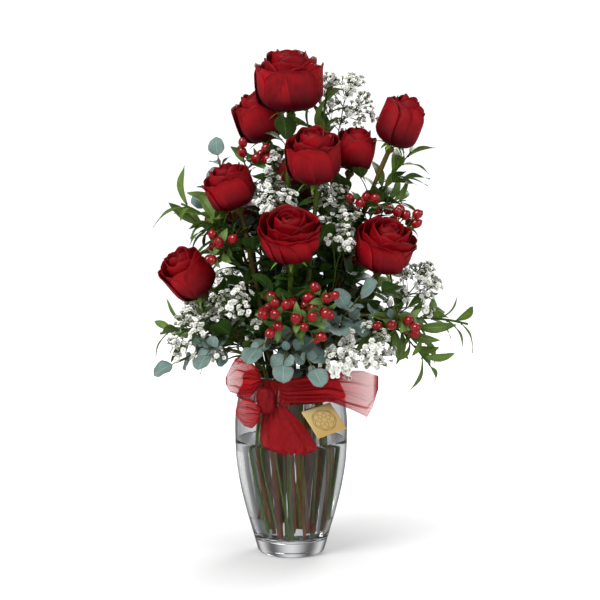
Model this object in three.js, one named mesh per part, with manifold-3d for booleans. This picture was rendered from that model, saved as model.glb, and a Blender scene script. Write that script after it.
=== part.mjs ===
// A dozen red roses with baby's breath, hypericum berries and mixed greens, standing in water in a
// barrel-shaped glass vase whose neck is wrapped with a mesh bow and a small card.
// Millimetres, +Z up. The origin is the centre of the vase's flat foot, and the front looks along -Y.
import * as THREE from 'three';
import { mergeVertices } from 'three/addons/utils/BufferGeometryUtils.js';
import Module from 'manifold-3d';

const wasm = await Module();
wasm.setup();

// Glass vase
const vaseHeight = 205;
const footRadius = 37;
const footEdge = 3;
const bellyRadius = 63.5;
const bellyHeight = 132;
const neckRadius = 52;
const neckBelowRim = 11;
const lipRadius = 54;
const glassWall = 3;
const glassFloor = 16;
const floorCorner = 6;
const waterDepth = 114;
const vaseSides = 26;

// Stems
const roseStemRadius = 2.8;
const greenStemRadius = 1.8;
const berryStemRadius = 1.7;
const breathStemRadius = 1.4;
const bundleRadius = 30; // all the stems together where they pass the rim
const footBundleRadius = 31; // the same at their cut ends
const bellySpread = 1.45; // how much wider the bunch is in the belly of the vase than a straight bundle
const stemTwist = THREE.MathUtils.degToRad(40); // turn of the bundle between foot and rim
const lowestCut = 3; // lowest cut end over the glass floor
const cutSpread = 24; // how much higher the highest cut end is
const settlingPasses = 220;
const sideShootShare = 0.8; // a side shoot's radius as a share of its stem's
const roseStemSides = 6;
const thinStemSides = 4;

// Bow and card
const bandHeight = 24;
const bandBelowRim = 1.5;
const bandThickness = 2.2;
const knotTurn = THREE.MathUtils.degToRad(-23); // from the front, towards -X
const knotHalf = { width: 13, depth: 7, height: 15 };
const tailThickness = 2;
const tailLength = 58;
const cardSide = 37;
const cardThickness = 1.2;

// Plant parts
const hipRadius = 5.5;
const hipLength = 9;
const sepalLength = 20;
const sepalWidth = 6;
const leafThickness = 1.1;
const berryRadius = 5.4;
const berryHalfLength = 6.2;
const berryStalk = 21;
const floretBallRadius = 8.4;
const twigRadius = 0.9;

const gap = 0.3; // between pieces that touch
const leafGap = 0.5; // between leaves, berries and florets of different stems
const goldenAngle = Math.PI * (3 - Math.sqrt(5));
const goldenShare = 0.618; // steps through a row that never line up
const rim = vaseHeight;

// Blooms: middle of the head with its height over the rim, the way it looks, width, height, openness
const roses = [
  { at: [-3, 0, 327], look: [0, -0.08, 1], width: 86, height: 68, open: 0.55 },
  { at: [-36, 46, 288], look: [-0.25, -0.1, 1], width: 66, height: 56, open: 0.2 },
  { at: [121, 0, 283], look: [0.36, -0.05, 0.93], width: 56, height: 58, open: 0.1 },
  { at: [23, -40, 244], look: [-0.05, -0.3, 1], width: 72, height: 60, open: 0.35 },
  { at: [71, 16, 252], look: [0.2, -0.1, 1], width: 52, height: 48, open: 0.2 },
  { at: [-68, -8, 210], look: [-0.3, -0.15, 1], width: 66, height: 50, open: 0.5 },
  { at: [-3, -76, 157], look: [0, -0.5, 0.87], width: 80, height: 56, open: 1 },
  { at: [101, -42, 147], look: [0.2, -0.4, 0.9], width: 78, height: 58, open: 0.7 },
  { at: [-114, -30, 116], look: [-0.5, -0.4, 0.75], width: 60, height: 58, open: 0.4 },
  { at: [-66, 76, 166], look: [-0.4, 0.55, 0.75], width: 72, height: 58, open: 0.5 },
  { at: [62, 84, 138], look: [0.35, 0.6, 0.72], width: 74, height: 58, open: 0.8 },
  { at: [4, 74, 212], look: [0.05, 0.5, 0.87], width: 70, height: 58, open: 0.4 },
];

// Leaf outlines from the base to the tip: share of the length, share of the half width
const lance = [[0.42, 1], [1, 0]];
const coin = [[0.32, 0.9], [0.74, 0.94], [1, 0]];
const oval = [[0.2, 0.66], [0.55, 1], [1, 0]];
const spear = [[0.4, 1], [1, 0]];

// Greens: where the last leaf of each shoot ends, with its height over the rim, and the way it points
const greens = [
  {
    name: 'eucalyptus_1', outline: coin, length: 27, width: 23, pitch: 22, leafy: 110, spread: 1.05,
    tips: [
      { at: [-9, -96, -2], aim: [-0.05, -0.25, -0.95] },
      { at: [27, -96, -6], aim: [0.15, -0.2, -0.95] },
      { at: [-46, -88, 18], aim: [-0.4, -0.5, -0.7] },
    ],
  },
  {
    name: 'eucalyptus_2', outline: coin, length: 30, width: 25, pitch: 25, leafy: 96, spread: 1.05,
    tips: [
      { at: [92, -88, 112], aim: [0.6, -0.2, 0.6] },
      { at: [56, -102, 60], aim: [0.3, -0.8, 0] },
      { at: [140, -46, 66], aim: [0.9, -0.2, 0] },
    ],
  },
  {
    name: 'eucalyptus_3', outline: coin, length: 26, width: 18, pitch: 22, leafy: 96, spread: 0.9,
    tips: [
      { at: [-152, -36, 6], aim: [-0.9, -0.1, -0.35] },
      { at: [-108, -70, 14], aim: [-0.7, -0.3, -0.6] },
    ],
  },
  {
    name: 'eucalyptus_4', outline: coin, length: 24, width: 20, pitch: 22, leafy: 96, spread: 1,
    tips: [
      { at: [-92, 34, 262], aim: [-0.4, 0, 0.9] },
      { at: [-114, 34, 196], aim: [-0.8, 0, 0.6] },
    ],
  },
  {
    name: 'eucalyptus_5', outline: coin, length: 28, width: 23, pitch: 24, leafy: 96, spread: 1.05,
    tips: [
      { at: [-8, 116, 26], aim: [0, 0.8, -0.6] },
      { at: [60, 112, 58], aim: [0.4, 0.8, -0.1] },
      { at: [-80, 104, 66], aim: [-0.5, 0.7, 0] },
    ],
  },
  {
    name: 'ruscus_1', outline: lance, length: 46, width: 13, pitch: 20, leafy: 104, spread: 0.8,
    tips: [
      { at: [-110, 34, 238], aim: [-0.6, 0, 0.8] },
      { at: [-124, -8, 186], aim: [-0.9, -0.1, 0.3] },
    ],
  },
  {
    name: 'ruscus_2', outline: lance, length: 44, width: 13, pitch: 20, leafy: 90, spread: 0.8,
    tips: [
      { at: [146, 16, 246], aim: [0.8, 0, 0.6] },
      { at: [48, 34, 322], aim: [0.2, 0.1, 0.95] },
    ],
  },
  {
    name: 'ruscus_3', outline: lance, length: 46, width: 13, pitch: 18, leafy: 120, spread: 0.8,
    tips: [
      { at: [204, -14, 58], aim: [0.95, -0.05, -0.1] },
      { at: [168, -26, 12], aim: [0.8, -0.15, -0.55] },
    ],
  },
  {
    name: 'ruscus_4', outline: lance, length: 44, width: 12, pitch: 20, leafy: 90, spread: 0.8,
    tips: [{ at: [-152, -8, 46], aim: [-0.95, 0, -0.1] }],
  },
  {
    name: 'ruscus_5', outline: lance, length: 46, width: 13, pitch: 20, leafy: 96, spread: 0.8,
    tips: [{ at: [116, 98, 92], aim: [0.7, 0.6, 0.1] }],
  },
  {
    name: 'salal_1', outline: oval, length: 62, width: 36, pitch: 34, leafy: 104, spread: 0.85,
    tips: [
      { at: [-30, -86, 62], aim: [-0.3, -0.8, 0] },
      { at: [-74, -72, 22], aim: [-0.6, -0.5, -0.4] },
    ],
  },
  {
    name: 'salal_2', outline: oval, length: 58, width: 32, pitch: 34, leafy: 104, spread: 0.8,
    tips: [
      { at: [82, 4, 236], aim: [0.3, 0, 0.9] },
      { at: [142, -34, 30], aim: [0.8, -0.3, -0.3] },
    ],
  },
  {
    name: 'salal_3', outline: oval, length: 62, width: 36, pitch: 34, leafy: 104, spread: 0.85,
    tips: [
      { at: [6, 124, 84], aim: [0, 0.9, 0] },
      { at: [-110, 78, 62], aim: [-0.75, 0.5, -0.1] },
    ],
  },
];

// Berry sprays: the middle of each cluster and how many berries it carries
const berrySprays = [
  { name: 'hypericum_1', clusters: [{ at: [-53, 20, 256], count: 4 }, { at: [-72, -34, 160], count: 3 }] },
  { name: 'hypericum_2', clusters: [{ at: [-18, -88, 98], count: 6 }, { at: [16, -92, 88], count: 5 }] },
  { name: 'hypericum_3', clusters: [{ at: [76, -20, 208], count: 4 }, { at: [40, -86, 108], count: 3 }] },
  { name: 'hypericum_4', clusters: [{ at: [119, -12, 188], count: 5 }, { at: [120, -54, 84], count: 3 }] },
  { name: 'hypericum_5', clusters: [{ at: [0, 96, 158], count: 4 }, { at: [-34, 104, 92], count: 3 }] },
];

// Baby's breath: the middle of each head, its half sizes and how many clusters of florets it carries
const breathSprays = [
  { name: 'babys_breath_1', heads: [{ at: [62, 44, 312], half: [36, 22, 36], count: 6 }] },
  {
    name: 'babys_breath_2',
    heads: [
      { at: [-25, 2, 222], half: [27, 20, 42], count: 5 },
      { at: [-14, -42, 190], half: [27, 17, 19], count: 3 },
    ],
  },
  {
    name: 'babys_breath_3',
    heads: [
      { at: [62, -46, 160], half: [19, 17, 32], count: 4 },
      { at: [42, -20, 196], half: [25, 17, 21], count: 3 },
    ],
  },
  { name: 'babys_breath_4', heads: [{ at: [142, -16, 104], half: [29, 23, 28], count: 6 }] },
  {
    name: 'babys_breath_5',
    heads: [
      { at: [86, -70, 32], half: [37, 19, 28], count: 6 },
      { at: [52, -84, 24], half: [21, 13, 22], count: 3 },
    ],
  },
  { name: 'babys_breath_6', heads: [{ at: [-104, -38, 44], half: [36, 25, 34], count: 7 }] },
  {
    name: 'babys_breath_7',
    heads: [
      { at: [-62, -66, 84], half: [25, 17, 26], count: 4 },
      { at: [-86, -10, 78], half: [29, 19, 19], count: 3 },
    ],
  },
  {
    name: 'babys_breath_8',
    heads: [
      { at: [-24, 96, 124], half: [44, 19, 38], count: 5 },
      { at: [-66, 100, 96], half: [30, 20, 28], count: 4 },
    ],
  },
];

const vector = (x, y, z) => new THREE.Vector3(x, y, z);
const overRim = ([x, y, z]) => vector(x, y, z + rim);
const lengthInPlan = (point) => Math.hypot(point.x, point.y);

// ---- solids ----

function solidOf(geometry) {
  const plain = geometry.clone();
  plain.deleteAttribute('normal');
  plain.deleteAttribute('uv');
  const merged = mergeVertices(plain, 1e-4);
  const triVerts = new Uint32Array(merged.index.array);
  const vertProperties = new Float32Array(merged.attributes.position.array);
  const solid = new wasm.Manifold(new wasm.Mesh({ numProp: 3, vertProperties, triVerts }));
  if (solid.volume() > 0) return solid;
  for (let i = 0; i < triVerts.length; i += 3) {
    [triVerts[i + 1], triVerts[i + 2]] = [triVerts[i + 2], triVerts[i + 1]];
  }
  return new wasm.Manifold(new wasm.Mesh({ numProp: 3, vertProperties, triVerts }));
}

// A closed skin over a stack of rings; the first and the last ring are single points.
function skin(stack) {
  const positions = stack.flat().flatMap((point) => [point.x, point.y, point.z]);
  const sides = stack[1].length;
  const indices = [];
  let start = 0;
  for (let row = 0; row < stack.length - 1; row += 1) {
    const low = stack[row].length > 1;
    const high = stack[row + 1].length > 1;
    const next = start + stack[row].length;
    for (let i = 0; i < sides; i += 1) {
      const j = (i + 1) % sides;
      const below = low ? [start + i, start + j] : [start, start];
      const above = high ? [next + i, next + j] : [next, next];
      const corners = [...below, ...above];
      if (low) indices.push(corners[0], corners[1], corners[3]);
      if (high) indices.push(corners[0], corners[3], corners[2]);
    }
    start = next;
  }
  const geometry = new THREE.BufferGeometry();
  geometry.setAttribute('position', new THREE.Float32BufferAttribute(positions, 3));
  geometry.setIndex(indices);
  return solidOf(geometry);
}

function lathe(profile) {
  const points = profile.map(([radius, z]) => new THREE.Vector2(radius, z));
  return solidOf(new THREE.LatheGeometry(points, vaseSides).rotateX(Math.PI / 2));
}

// Frames carried along a line of points without twisting, starting from a chosen side.
function framesAlong(points, firstSide = vector(1, 0.2, 0)) {
  let side = firstSide;
  return points.map((point, i) => {
    const before = points[Math.max(i - 1, 0)];
    const after = points[Math.min(i + 1, points.length - 1)];
    const tangent = after.clone().sub(before).normalize();
    side = side.clone().addScaledVector(tangent, -side.dot(tangent)).normalize();
    return { point, tangent, side, normal: tangent.clone().cross(side) };
  });
}

// The way straight out from a frame at an angle round it.
function acrossAt(frame, angle) {
  return frame.side.clone().multiplyScalar(Math.cos(angle)).addScaledVector(frame.normal, Math.sin(angle));
}

// One way turned towards another by an angle.
function leaning(way, towards, angle) {
  return way.clone().multiplyScalar(Math.cos(angle)).addScaledVector(towards, Math.sin(angle)).normalize();
}

function ringAt(frame, halfWidth, halfDepth, sides) {
  return Array.from({ length: sides }, (_, i) => {
    const angle = (2 * Math.PI * i) / sides;
    return frame.point.clone()
      .addScaledVector(frame.side, halfWidth * Math.cos(angle))
      .addScaledVector(frame.normal, halfDepth * Math.sin(angle));
  });
}

// A round bar along a line of points, with one radius or a radius at each point.
function tube(points, radius, sides) {
  const rings = framesAlong(points).map((frame, i) => {
    const half = radius[i] ?? radius;
    return ringAt(frame, half, half, sides);
  });
  return skin([[points[0]], ...rings, [points[points.length - 1]]]);
}

const largestPiece = (solid) => solid.decompose().sort((a, b) => b.volume() - a.volume())[0];

function shortestEdge(solid) {
  const { vertProperties, triVerts } = solid.getMesh();
  const corner = (i) => new THREE.Vector3().fromArray(vertProperties, 3 * triVerts[i]);
  let shortest = Infinity;
  for (let i = 0; i < triVerts.length; i += 3) {
    const corners = [corner(i), corner(i + 1), corner(i + 2)];
    const lengths = corners.map((point, k) => point.distanceTo(corners[(k + 1) % 3]));
    shortest = Math.min(shortest, ...lengths);
  }
  return shortest;
}

// Pieces that cross leave slivers: of a few simplifications, the one whose shortest edge is longest.
function cleaned(solid) {
  const tolerances = [0.06, 0.09, 0.12, 0.16, 0.2];
  const simpler = tolerances.map((tolerance) => largestPiece(solid.simplify(tolerance)));
  return simpler.sort((a, b) => shortestEdge(b) - shortestEdge(a))[0];
}

const joined = (solids) => cleaned(largestPiece(wasm.Manifold.union(solids)));

// ---- room: what already stands where, so that leaves and florets grow into free space ----

const cellSize = 16;
const beadPitch = 1.5; // along a stem
const stripPitch = 3; // over a blade
const bladeBead = 1.6;
const cellKey = (...point) => point.map((value) => Math.floor(value / cellSize)).join();
const cells = new Map();
const bigBodies = [];

function fill(owner, beads) {
  beads.forEach(({ point, radius }) => {
    const key = cellKey(point.x, point.y, point.z);
    if (!cells.has(key)) cells.set(key, []);
    cells.get(key).push({ owner, point, radius });
  });
}

function touches(owner, { point, radius }) {
  if (bigBodies.some((body) => body.owner !== owner && body.holds(point, radius + leafGap))) return true;
  for (const dx of [-cellSize, 0, cellSize]) {
    for (const dy of [-cellSize, 0, cellSize]) {
      for (const dz of [-cellSize, 0, cellSize]) {
        const beads = cells.get(cellKey(point.x + dx, point.y + dy, point.z + dz)) ?? [];
        const hit = beads.some((bead) => bead.owner !== owner
          && bead.point.distanceTo(point) < bead.radius + radius + leafGap);
        if (hit) return true;
      }
    }
  }
  return false;
}

const isFree = (owner, beads) => !beads.some((bead) => touches(owner, bead));

function beadsAlong(points, radius) {
  const beads = [];
  for (let i = 1; i < points.length; i += 1) {
    const steps = Math.ceil(points[i].distanceTo(points[i - 1]) / beadPitch);
    for (let k = 0; k <= steps; k += 1) {
      beads.push({ point: points[i - 1].clone().lerp(points[i], k / steps), radius });
    }
  }
  return beads;
}

// Beads over a strip: frames down its middle, each with a half width.
function beadsOver(frames, halfWidths, radius) {
  const beads = [];
  for (let i = 1; i < frames.length; i += 1) {
    const steps = Math.ceil(frames[i].point.distanceTo(frames[i - 1].point) / stripPitch);
    for (let k = 0; k <= steps; k += 1) {
      const middle = frames[i - 1].point.clone().lerp(frames[i].point, k / steps);
      const side = frames[i - 1].side.clone().lerp(frames[i].side, k / steps);
      const half = THREE.MathUtils.lerp(halfWidths[i - 1], halfWidths[i], k / steps);
      const across = Math.ceil((2 * half) / stripPitch) || 1;
      for (let m = 0; m <= across; m += 1) {
        beads.push({ point: middle.clone().addScaledVector(side, half * ((2 * m) / across - 1)), radius });
      }
    }
  }
  return beads;
}

// ---- vase and water ----

function between(low, high, count) {
  return Array.from({ length: count + 1 }, (_, i) => low + ((high - low) * i) / count);
}

const neckHeight = vaseHeight - neckBelowRim;
const bandTop = vaseHeight - bandBelowRim - glassWall / 2;
const bandBottom = bandTop - bandHeight;
const waterLevel = glassFloor + waterDepth;

// Outer radius of the glass as drawn: foot to belly, belly to neck, neck to lip.
function glassCurve(z) {
  if (z < bellyHeight) {
    const rise = (z / bellyHeight) ** 1.05;
    return footRadius + (bellyRadius - footRadius) * Math.sin((Math.PI / 2) * rise);
  }
  if (z < neckHeight) {
    const rise = ((z - bellyHeight) / (neckHeight - bellyHeight)) ** 2.2;
    return neckRadius + (bellyRadius - neckRadius) * Math.cos((Math.PI / 2) * rise);
  }
  return neckRadius + (lipRadius - neckRadius) * ((z - neckHeight) / neckBelowRim) ** 2;
}

// The heights where the wall has a ring, so that whatever follows the wall bends where it bends.
const glassLevels = [...new Set([
  footEdge, ...between(glassFloor + floorCorner, bellyHeight, 4), ...between(bellyHeight, bandBottom, 2),
  (bandBottom + neckHeight) / 2, neckHeight, bandTop, vaseHeight - glassWall / 2,
])].sort((a, b) => a - b);

// Outer radius of the glass as built, straight between its rings.
function glassRadius(z) {
  const i = THREE.MathUtils.clamp(glassLevels.findIndex((level) => level >= z), 1, glassLevels.length - 1);
  const [low, high] = [glassLevels[i - 1], glassLevels[i]];
  const share = THREE.MathUtils.clamp((z - low) / (high - low), 0, 1);
  return THREE.MathUtils.lerp(glassCurve(low), glassCurve(high), share);
}

const levelsBetween = (low, high) => glassLevels.filter((z) => z >= low - 1e-6 && z <= high + 1e-6);

function vaseSolid() {
  const rimTop = vaseHeight - glassWall / 2;
  const outside = levelsBetween(footEdge, rimTop).map((z) => [glassRadius(z), z]);
  const lipCentre = glassRadius(rimTop) - glassWall / 2;
  const lip = [0.35, 0, -0.35].map((share) => (
    [lipCentre + glassWall * share, vaseHeight - glassWall * 0.4 * Math.abs(share)]
  ));
  const inside = levelsBetween(glassFloor + floorCorner, rimTop).reverse()
    .map((z) => [glassRadius(z) - glassWall, z]);
  const floorRadius = glassRadius(glassFloor + floorCorner) - glassWall - floorCorner;
  return lathe([[0, 0], [footRadius - footEdge, 0], ...outside, ...lip, ...inside,
    [floorRadius, glassFloor], [0, glassFloor]]);
}

function waterSolid(stemRoutes) {
  const floorRadius = glassRadius(glassFloor + floorCorner) - glassWall - floorCorner - 2 * gap;
  const side = [...levelsBetween(glassFloor + floorCorner, waterLevel - gap), waterLevel]
    .map((z) => [glassRadius(z) - glassWall - 1.5 * gap, z]);
  const body = lathe([[0, glassFloor + gap], [floorRadius, glassFloor + gap], ...side, [0, waterLevel]]);
  const holes = stemRoutes.map((route) => tube(route.points.slice(0, 3), route.radius + gap, route.sides));
  return largestPiece(body.subtract(wasm.Manifold.union(holes)));
}

// ---- stems ----

function bezier(points, count) {
  const curve = new THREE.CubicBezierCurve3(...points);
  return Array.from({ length: count }, (_, i) => curve.getPoint((i + 1) / count));
}

// A stem from its cut end up through the rim to a tip, leaning out on the side where the tip is.
function routeTo(name, tip, aim, radius, sides, order) {
  const reach = lengthInPlan(tip) / (0.45 * (tip.z - rim) + 60);
  const outward = vector(tip.x, tip.y, 0).normalize();
  const atRim = outward.clone().multiplyScalar(bundleRadius * Math.min(1, reach)).setZ(rim);
  const atFoot = atRim.clone().setZ(0).applyAxisAngle(vector(0, 0, 1), stemTwist)
    .multiplyScalar(footBundleRadius / bundleRadius);
  atFoot.z = glassFloor + lowestCut + cutSpread * ((order * goldenShare) % 1);
  const inBelly = atFoot.clone().lerp(atRim, 0.55);
  const lower = [atFoot, inBelly.multiply(vector(bellySpread, bellySpread, 1)), atRim];
  const span = tip.distanceTo(atRim);
  const risen = atRim.clone().addScaledVector(outward, span * 0.08).add(vector(0, 0, span * 0.38 + 8));
  const arriving = tip.clone().addScaledVector(aim.clone().normalize(), -span * 0.36);
  const upper = bezier([atRim, risen, arriving, tip], 6);
  return { name, points: [...lower, ...upper], radius, sides };
}

// The closest points of two straight stretches, as shares of each.
function closest(a, b, c, d) {
  const u = b.clone().sub(a);
  const w = d.clone().sub(c);
  const r = a.clone().sub(c);
  const uu = u.dot(u);
  const ww = w.dot(w);
  const uw = u.dot(w);
  const ur = u.dot(r);
  const wr = w.dot(r);
  const clamp = (value) => THREE.MathUtils.clamp(value, 0, 1);
  const slope = uu * ww - uw * uw;
  let s = slope > 1e-9 ? clamp((uw * wr - ww * ur) / slope) : 0.5;
  const t = clamp((uw * s + wr) / ww);
  s = clamp((uw * t - ur) / uu);
  return { s, t };
}

// Pushes two routes apart wherever they come closer than their radii and a clearance.
function separate(one, other) {
  const need = one.radius + other.radius + 3 * gap;
  for (let i = 1; i < one.points.length; i += 1) {
    const [a, b] = [one.points[i - 1], one.points[i]];
    for (let k = 1; k < other.points.length; k += 1) {
      const [c, d] = [other.points[k - 1], other.points[k]];
      if (Math.abs(a.z + b.z - c.z - d.z) < 2 * need + a.distanceTo(b) + c.distanceTo(d)) {
        const { s, t } = closest(a, b, c, d);
        const apart = a.clone().lerp(b, s).sub(c.clone().lerp(d, t));
        const distance = apart.length();
        if (distance < need) {
          apart.setZ(0).normalize().multiplyScalar((need - distance) * 0.55);
          a.addScaledVector(apart, one.free(i - 1) * (1 - s));
          b.addScaledVector(apart, one.free(i) * s);
          c.addScaledVector(apart, -other.free(k - 1) * (1 - t));
          d.addScaledVector(apart, -other.free(k) * t);
        }
      }
    }
  }
}

function keepOutOfBlooms(route) {
  roses.filter((rose) => rose.stem !== route.name).forEach((rose) => {
    const reach = Math.hypot(rose.width, rose.height * 0.6) / 2 + route.radius + 2;
    for (let i = 1; i < route.points.length; i += 1) {
      const [a, b] = [route.points[i - 1], route.points[i]];
      const along = b.clone().sub(a);
      const share = THREE.MathUtils.clamp(rose.middle.clone().sub(a).dot(along) / along.lengthSq(), 0, 1);
      const away = a.clone().lerp(b, share).sub(rose.middle);
      const short = reach - away.length();
      if (short > 0) {
        away.setZ(0).normalize().multiplyScalar(short * 0.6);
        a.addScaledVector(away, route.free(i - 1) * (1 - share));
        b.addScaledVector(away, route.free(i) * share);
      }
    }
  });
}

function keepInVase(route) {
  route.points.slice(0, 3).forEach((point) => {
    const inRim = Math.abs(point.z - rim) < 1;
    const wall = glassRadius(point.z) - glassWall - route.radius - 4 * gap;
    const floorRoom = (point.z - glassFloor) * 0.8 + glassRadius(glassFloor) - glassWall - floorCorner - 4;
    const most = inRim ? bundleRadius : Math.min(wall, floorRoom);
    const radial = lengthInPlan(point);
    if (radial > most) point.set((point.x * most) / radial, (point.y * most) / radial, point.z);
  });
}

// Straightens a route, but for its spread in the belly of the vase.
function smooth(route, amount) {
  for (let i = 2; i < route.points.length - 1; i += 1) {
    const middle = route.points[i - 1].clone().add(route.points[i + 1]).multiplyScalar(0.5);
    const pull = middle.sub(route.points[i]);
    route.points[i].x += pull.x * amount * route.free(i);
    route.points[i].y += pull.y * amount * route.free(i);
  }
}

function settle(routes) {
  routes.forEach((route) => {
    route.free = (i) => (i >= route.points.length - (route.straightEnd ? 2 : 1) ? 0 : 1);
  });
  for (let pass = 0; pass < settlingPasses; pass += 1) {
    const easing = pass < settlingPasses * 0.6 ? 0.12 : 0;
    routes.forEach((route) => smooth(route, easing));
    routes.forEach((route, i) => routes.slice(i + 1).forEach((other) => separate(route, other)));
    routes.forEach((route) => keepOutOfBlooms(route));
    routes.forEach((route) => keepInVase(route));
  }
}

// The point and the direction at a distance from the tip of a line.
function fromTip(points, distance) {
  let left = distance;
  for (let i = points.length - 1; i > 0; i -= 1) {
    const length = points[i].distanceTo(points[i - 1]);
    const tangent = points[i].clone().sub(points[i - 1]).normalize();
    if (left <= length) return { point: points[i].clone().addScaledVector(tangent, -left), tangent };
    left -= length;
  }
  return { point: points[0].clone(), tangent: points[1].clone().sub(points[0]).normalize() };
}

// Where a twig to a target leaves its stem: well below the target, so that it rises at a slant.
function springFrom(points, target) {
  for (let distance = 0; distance < 160; distance += 4) {
    const { point, tangent } = fromTip(points, distance);
    const toTarget = target.clone().sub(point);
    const ahead = toTarget.dot(tangent);
    const aside = Math.sqrt(Math.max(0, toTarget.lengthSq() - ahead * ahead));
    if (ahead > aside * 1.1 && point.z > rim + 6) return point;
  }
  return fromTip(points, 40).point;
}

// ---- roses ----

// Half width of a bloom at a share of its height, for a bud (open 0) to a wide rosette (open 1).
function bloomShare(share, open) {
  const rows = [[0, 0.14], [0.08, 0.4], [0.25, 0.72 - 0.1 * open], [0.5, 0.94 - 0.16 * open],
    [0.72, 0.99 - 0.08 * open], [0.86, 0.86 + 0.14 * open], [1, 0.52 + 0.22 * open]];
  const next = rows.findIndex(([height]) => height >= share);
  if (next <= 0) return rows[next === 0 ? 0 : rows.length - 1][1];
  const [low, high] = [rows[next - 1], rows[next]];
  return THREE.MathUtils.lerp(low[1], high[1], (share - low[0]) / (high[0] - low[0]));
}

function bloomSolid(rose) {
  const sides = 11;
  const shares = [0, 0.1, 0.3, 0.6, 0.86, 1];
  const points = shares.map((share) => rose.base.clone().addScaledVector(rose.axis, share * rose.height));
  const rings = framesAlong(points).map((frame, row) => {
    const half = (rose.width / 2) * bloomShare(shares[row], rose.open);
    return ringAt(frame, half, half, sides).map((point, i) => {
      const petal = 1 - 0.05 * (1 + Math.cos((6 * Math.PI * i) / sides + row)) * (row > 1 ? 1 : 0);
      return frame.point.clone().lerp(point, petal);
    });
  });
  const heart = rose.base.clone().addScaledVector(rose.axis, rose.height * (0.97 - 0.12 * rose.open));
  return skin([[points[0]], ...rings, [heart]]);
}

function placeRoses() {
  roses.forEach((rose, i) => {
    rose.middle = overRim(rose.at);
    rose.axis = vector(...rose.look).normalize();
    rose.base = rose.middle.clone().addScaledVector(rose.axis, -rose.height / 2);
    rose.stem = `rose_${i + 1}_stem`;
    rose.bloom = `rose_${i + 1}_bloom`;
    rose.hip = rose.base.clone().addScaledVector(rose.axis, -gap);
  });
}

const roseNeck = (rose) => rose.hip.clone().addScaledVector(rose.axis, -hipLength);

function roseRoute(rose, order) {
  const route = routeTo(rose.stem, roseNeck(rose), rose.axis, roseStemRadius, roseStemSides, order);
  return { ...route, straightEnd: true };
}

// The stem, which swells into the hip, with five sepals bent back under the bloom.
function roseStemSolid(rose, route) {
  const below = (share) => rose.hip.clone().addScaledVector(rose.axis, -hipLength * share);
  const hipPoints = [0.7, 0.3, 0].map(below);
  const hipRadii = [0.85, 1, 0.8].map((share) => hipRadius * share);
  const radii = [...route.points.map(() => roseStemRadius), ...hipRadii];
  const parts = [tube([...route.points, ...hipPoints], radii, roseStemSides)];
  const frame = framesAlong([rose.hip, rose.base])[0];
  for (let i = 0; i < 5; i += 1) {
    const angle = (2 * Math.PI * i) / 5 + rose.middle.x;
    const out = acrossAt(frame, angle);
    const way = out.clone().addScaledVector(rose.axis, -0.35).normalize();
    const blade = leafBlade(below(0.4), way, rose.axis, sepalLength, sepalWidth, spear, 0.2);
    if (isFree(rose.stem, blade.beads)) {
      fill(rose.stem, blade.beads);
      parts.push(blade.solid());
    }
  }
  return joined(parts);
}

// ---- leaves, twigs and clusters ----

// A flat blade from its base; face is the way its upper side looks, and curl droops its tip.
function leafBlade(base, way, face, length, width, outline, curl) {
  const down = face.clone().addScaledVector(way, -face.dot(way)).normalize().negate();
  const pointAt = (share) => base.clone().addScaledVector(way, length * share)
    .addScaledVector(down, length * curl * share * share);
  const shares = [0.06, ...outline.map(([share]) => share)];
  const frames = framesAlong(shares.map(pointAt), way.clone().cross(down).normalize());
  const halves = [0.1, ...outline.map(([, share]) => share)].map((share) => (width / 2) * share);
  const inner = frames.slice(1, -1);
  const rings = () => inner.map((frame, i) => ringAt(frame, halves[i + 1], leafThickness / 2, 4));
  return {
    beads: beadsOver(frames, halves, bladeBead),
    solid: () => skin([[base], ...rings(), [pointAt(1)]]),
  };
}

// Tries a piece at several turns and grows the first that finds room.
function growFirst(owner, attempts, makeAt) {
  for (let attempt = 0; attempt < attempts; attempt += 1) {
    const piece = makeAt(attempt);
    if (isFree(owner, piece.beads)) {
      fill(owner, piece.beads);
      return piece.solid();
    }
  }
  return null;
}

// A side shoot from the main stem to a tip, tried from lower and lower forks and a little to each side.
function branch(owner, route, tip, aim) {
  const radius = route.radius * sideShootShare;
  for (let attempt = 0; attempt < 24; attempt += 1) {
    const start = fromTip(route.points, 50 + 14 * (attempt % 8)).point;
    const aside = vector(Math.cos(attempt * goldenAngle), Math.sin(attempt * goldenAngle), 0.3);
    const end = tip.clone().addScaledVector(aside, 2 * Math.sqrt(attempt));
    const span = start.distanceTo(end);
    const risen = start.clone().add(vector(0, 0, span * (0.3 + 0.06 * (attempt % 5))));
    const approach = span * (0.25 + 0.05 * (attempt % 6));
    const arriving = end.clone().addScaledVector(aim.clone().normalize(), -approach);
    const points = [start, ...bezier([start, risen, arriving, end], 5)];
    const beads = beadsAlong([start.clone().lerp(points[1], 0.2), ...points.slice(1)], radius);
    if (isFree(owner, beads)) {
      fill(owner, beads);
      return points;
    }
  }
  return null;
}

function stemTubes(lines, route) {
  return lines.map((line, i) => (
    i ? tube(line, route.radius * sideShootShare, thinStemSides) : tube(line, route.radius, route.sides)
  ));
}

function shootEnd({ at, aim }, length) {
  return overRim(at).addScaledVector(vector(...aim).normalize(), -length * 0.9);
}

function greenSolid(green, route) {
  const lines = [route.points];
  green.tips.slice(1).forEach((tip) => {
    const line = branch(green.name, route, shootEnd(tip, green.length), vector(...tip.aim));
    if (line) lines.push(line);
  });
  const parts = stemTubes(lines, route);
  lines.forEach((line) => {
    const count = Math.floor(green.leafy / green.pitch);
    for (let i = 0; i < count; i += 1) {
      const { point, tangent } = fromTip(line, i * green.pitch);
      if (point.z > rim + 4 || lengthInPlan(point) > lipRadius + 12) {
        const blade = growFirst(green.name, 8, (attempt) => greenBlade(green, point, tangent, i, attempt));
        if (blade) parts.push(blade);
      }
    }
  });
  return joined(parts);
}

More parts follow.
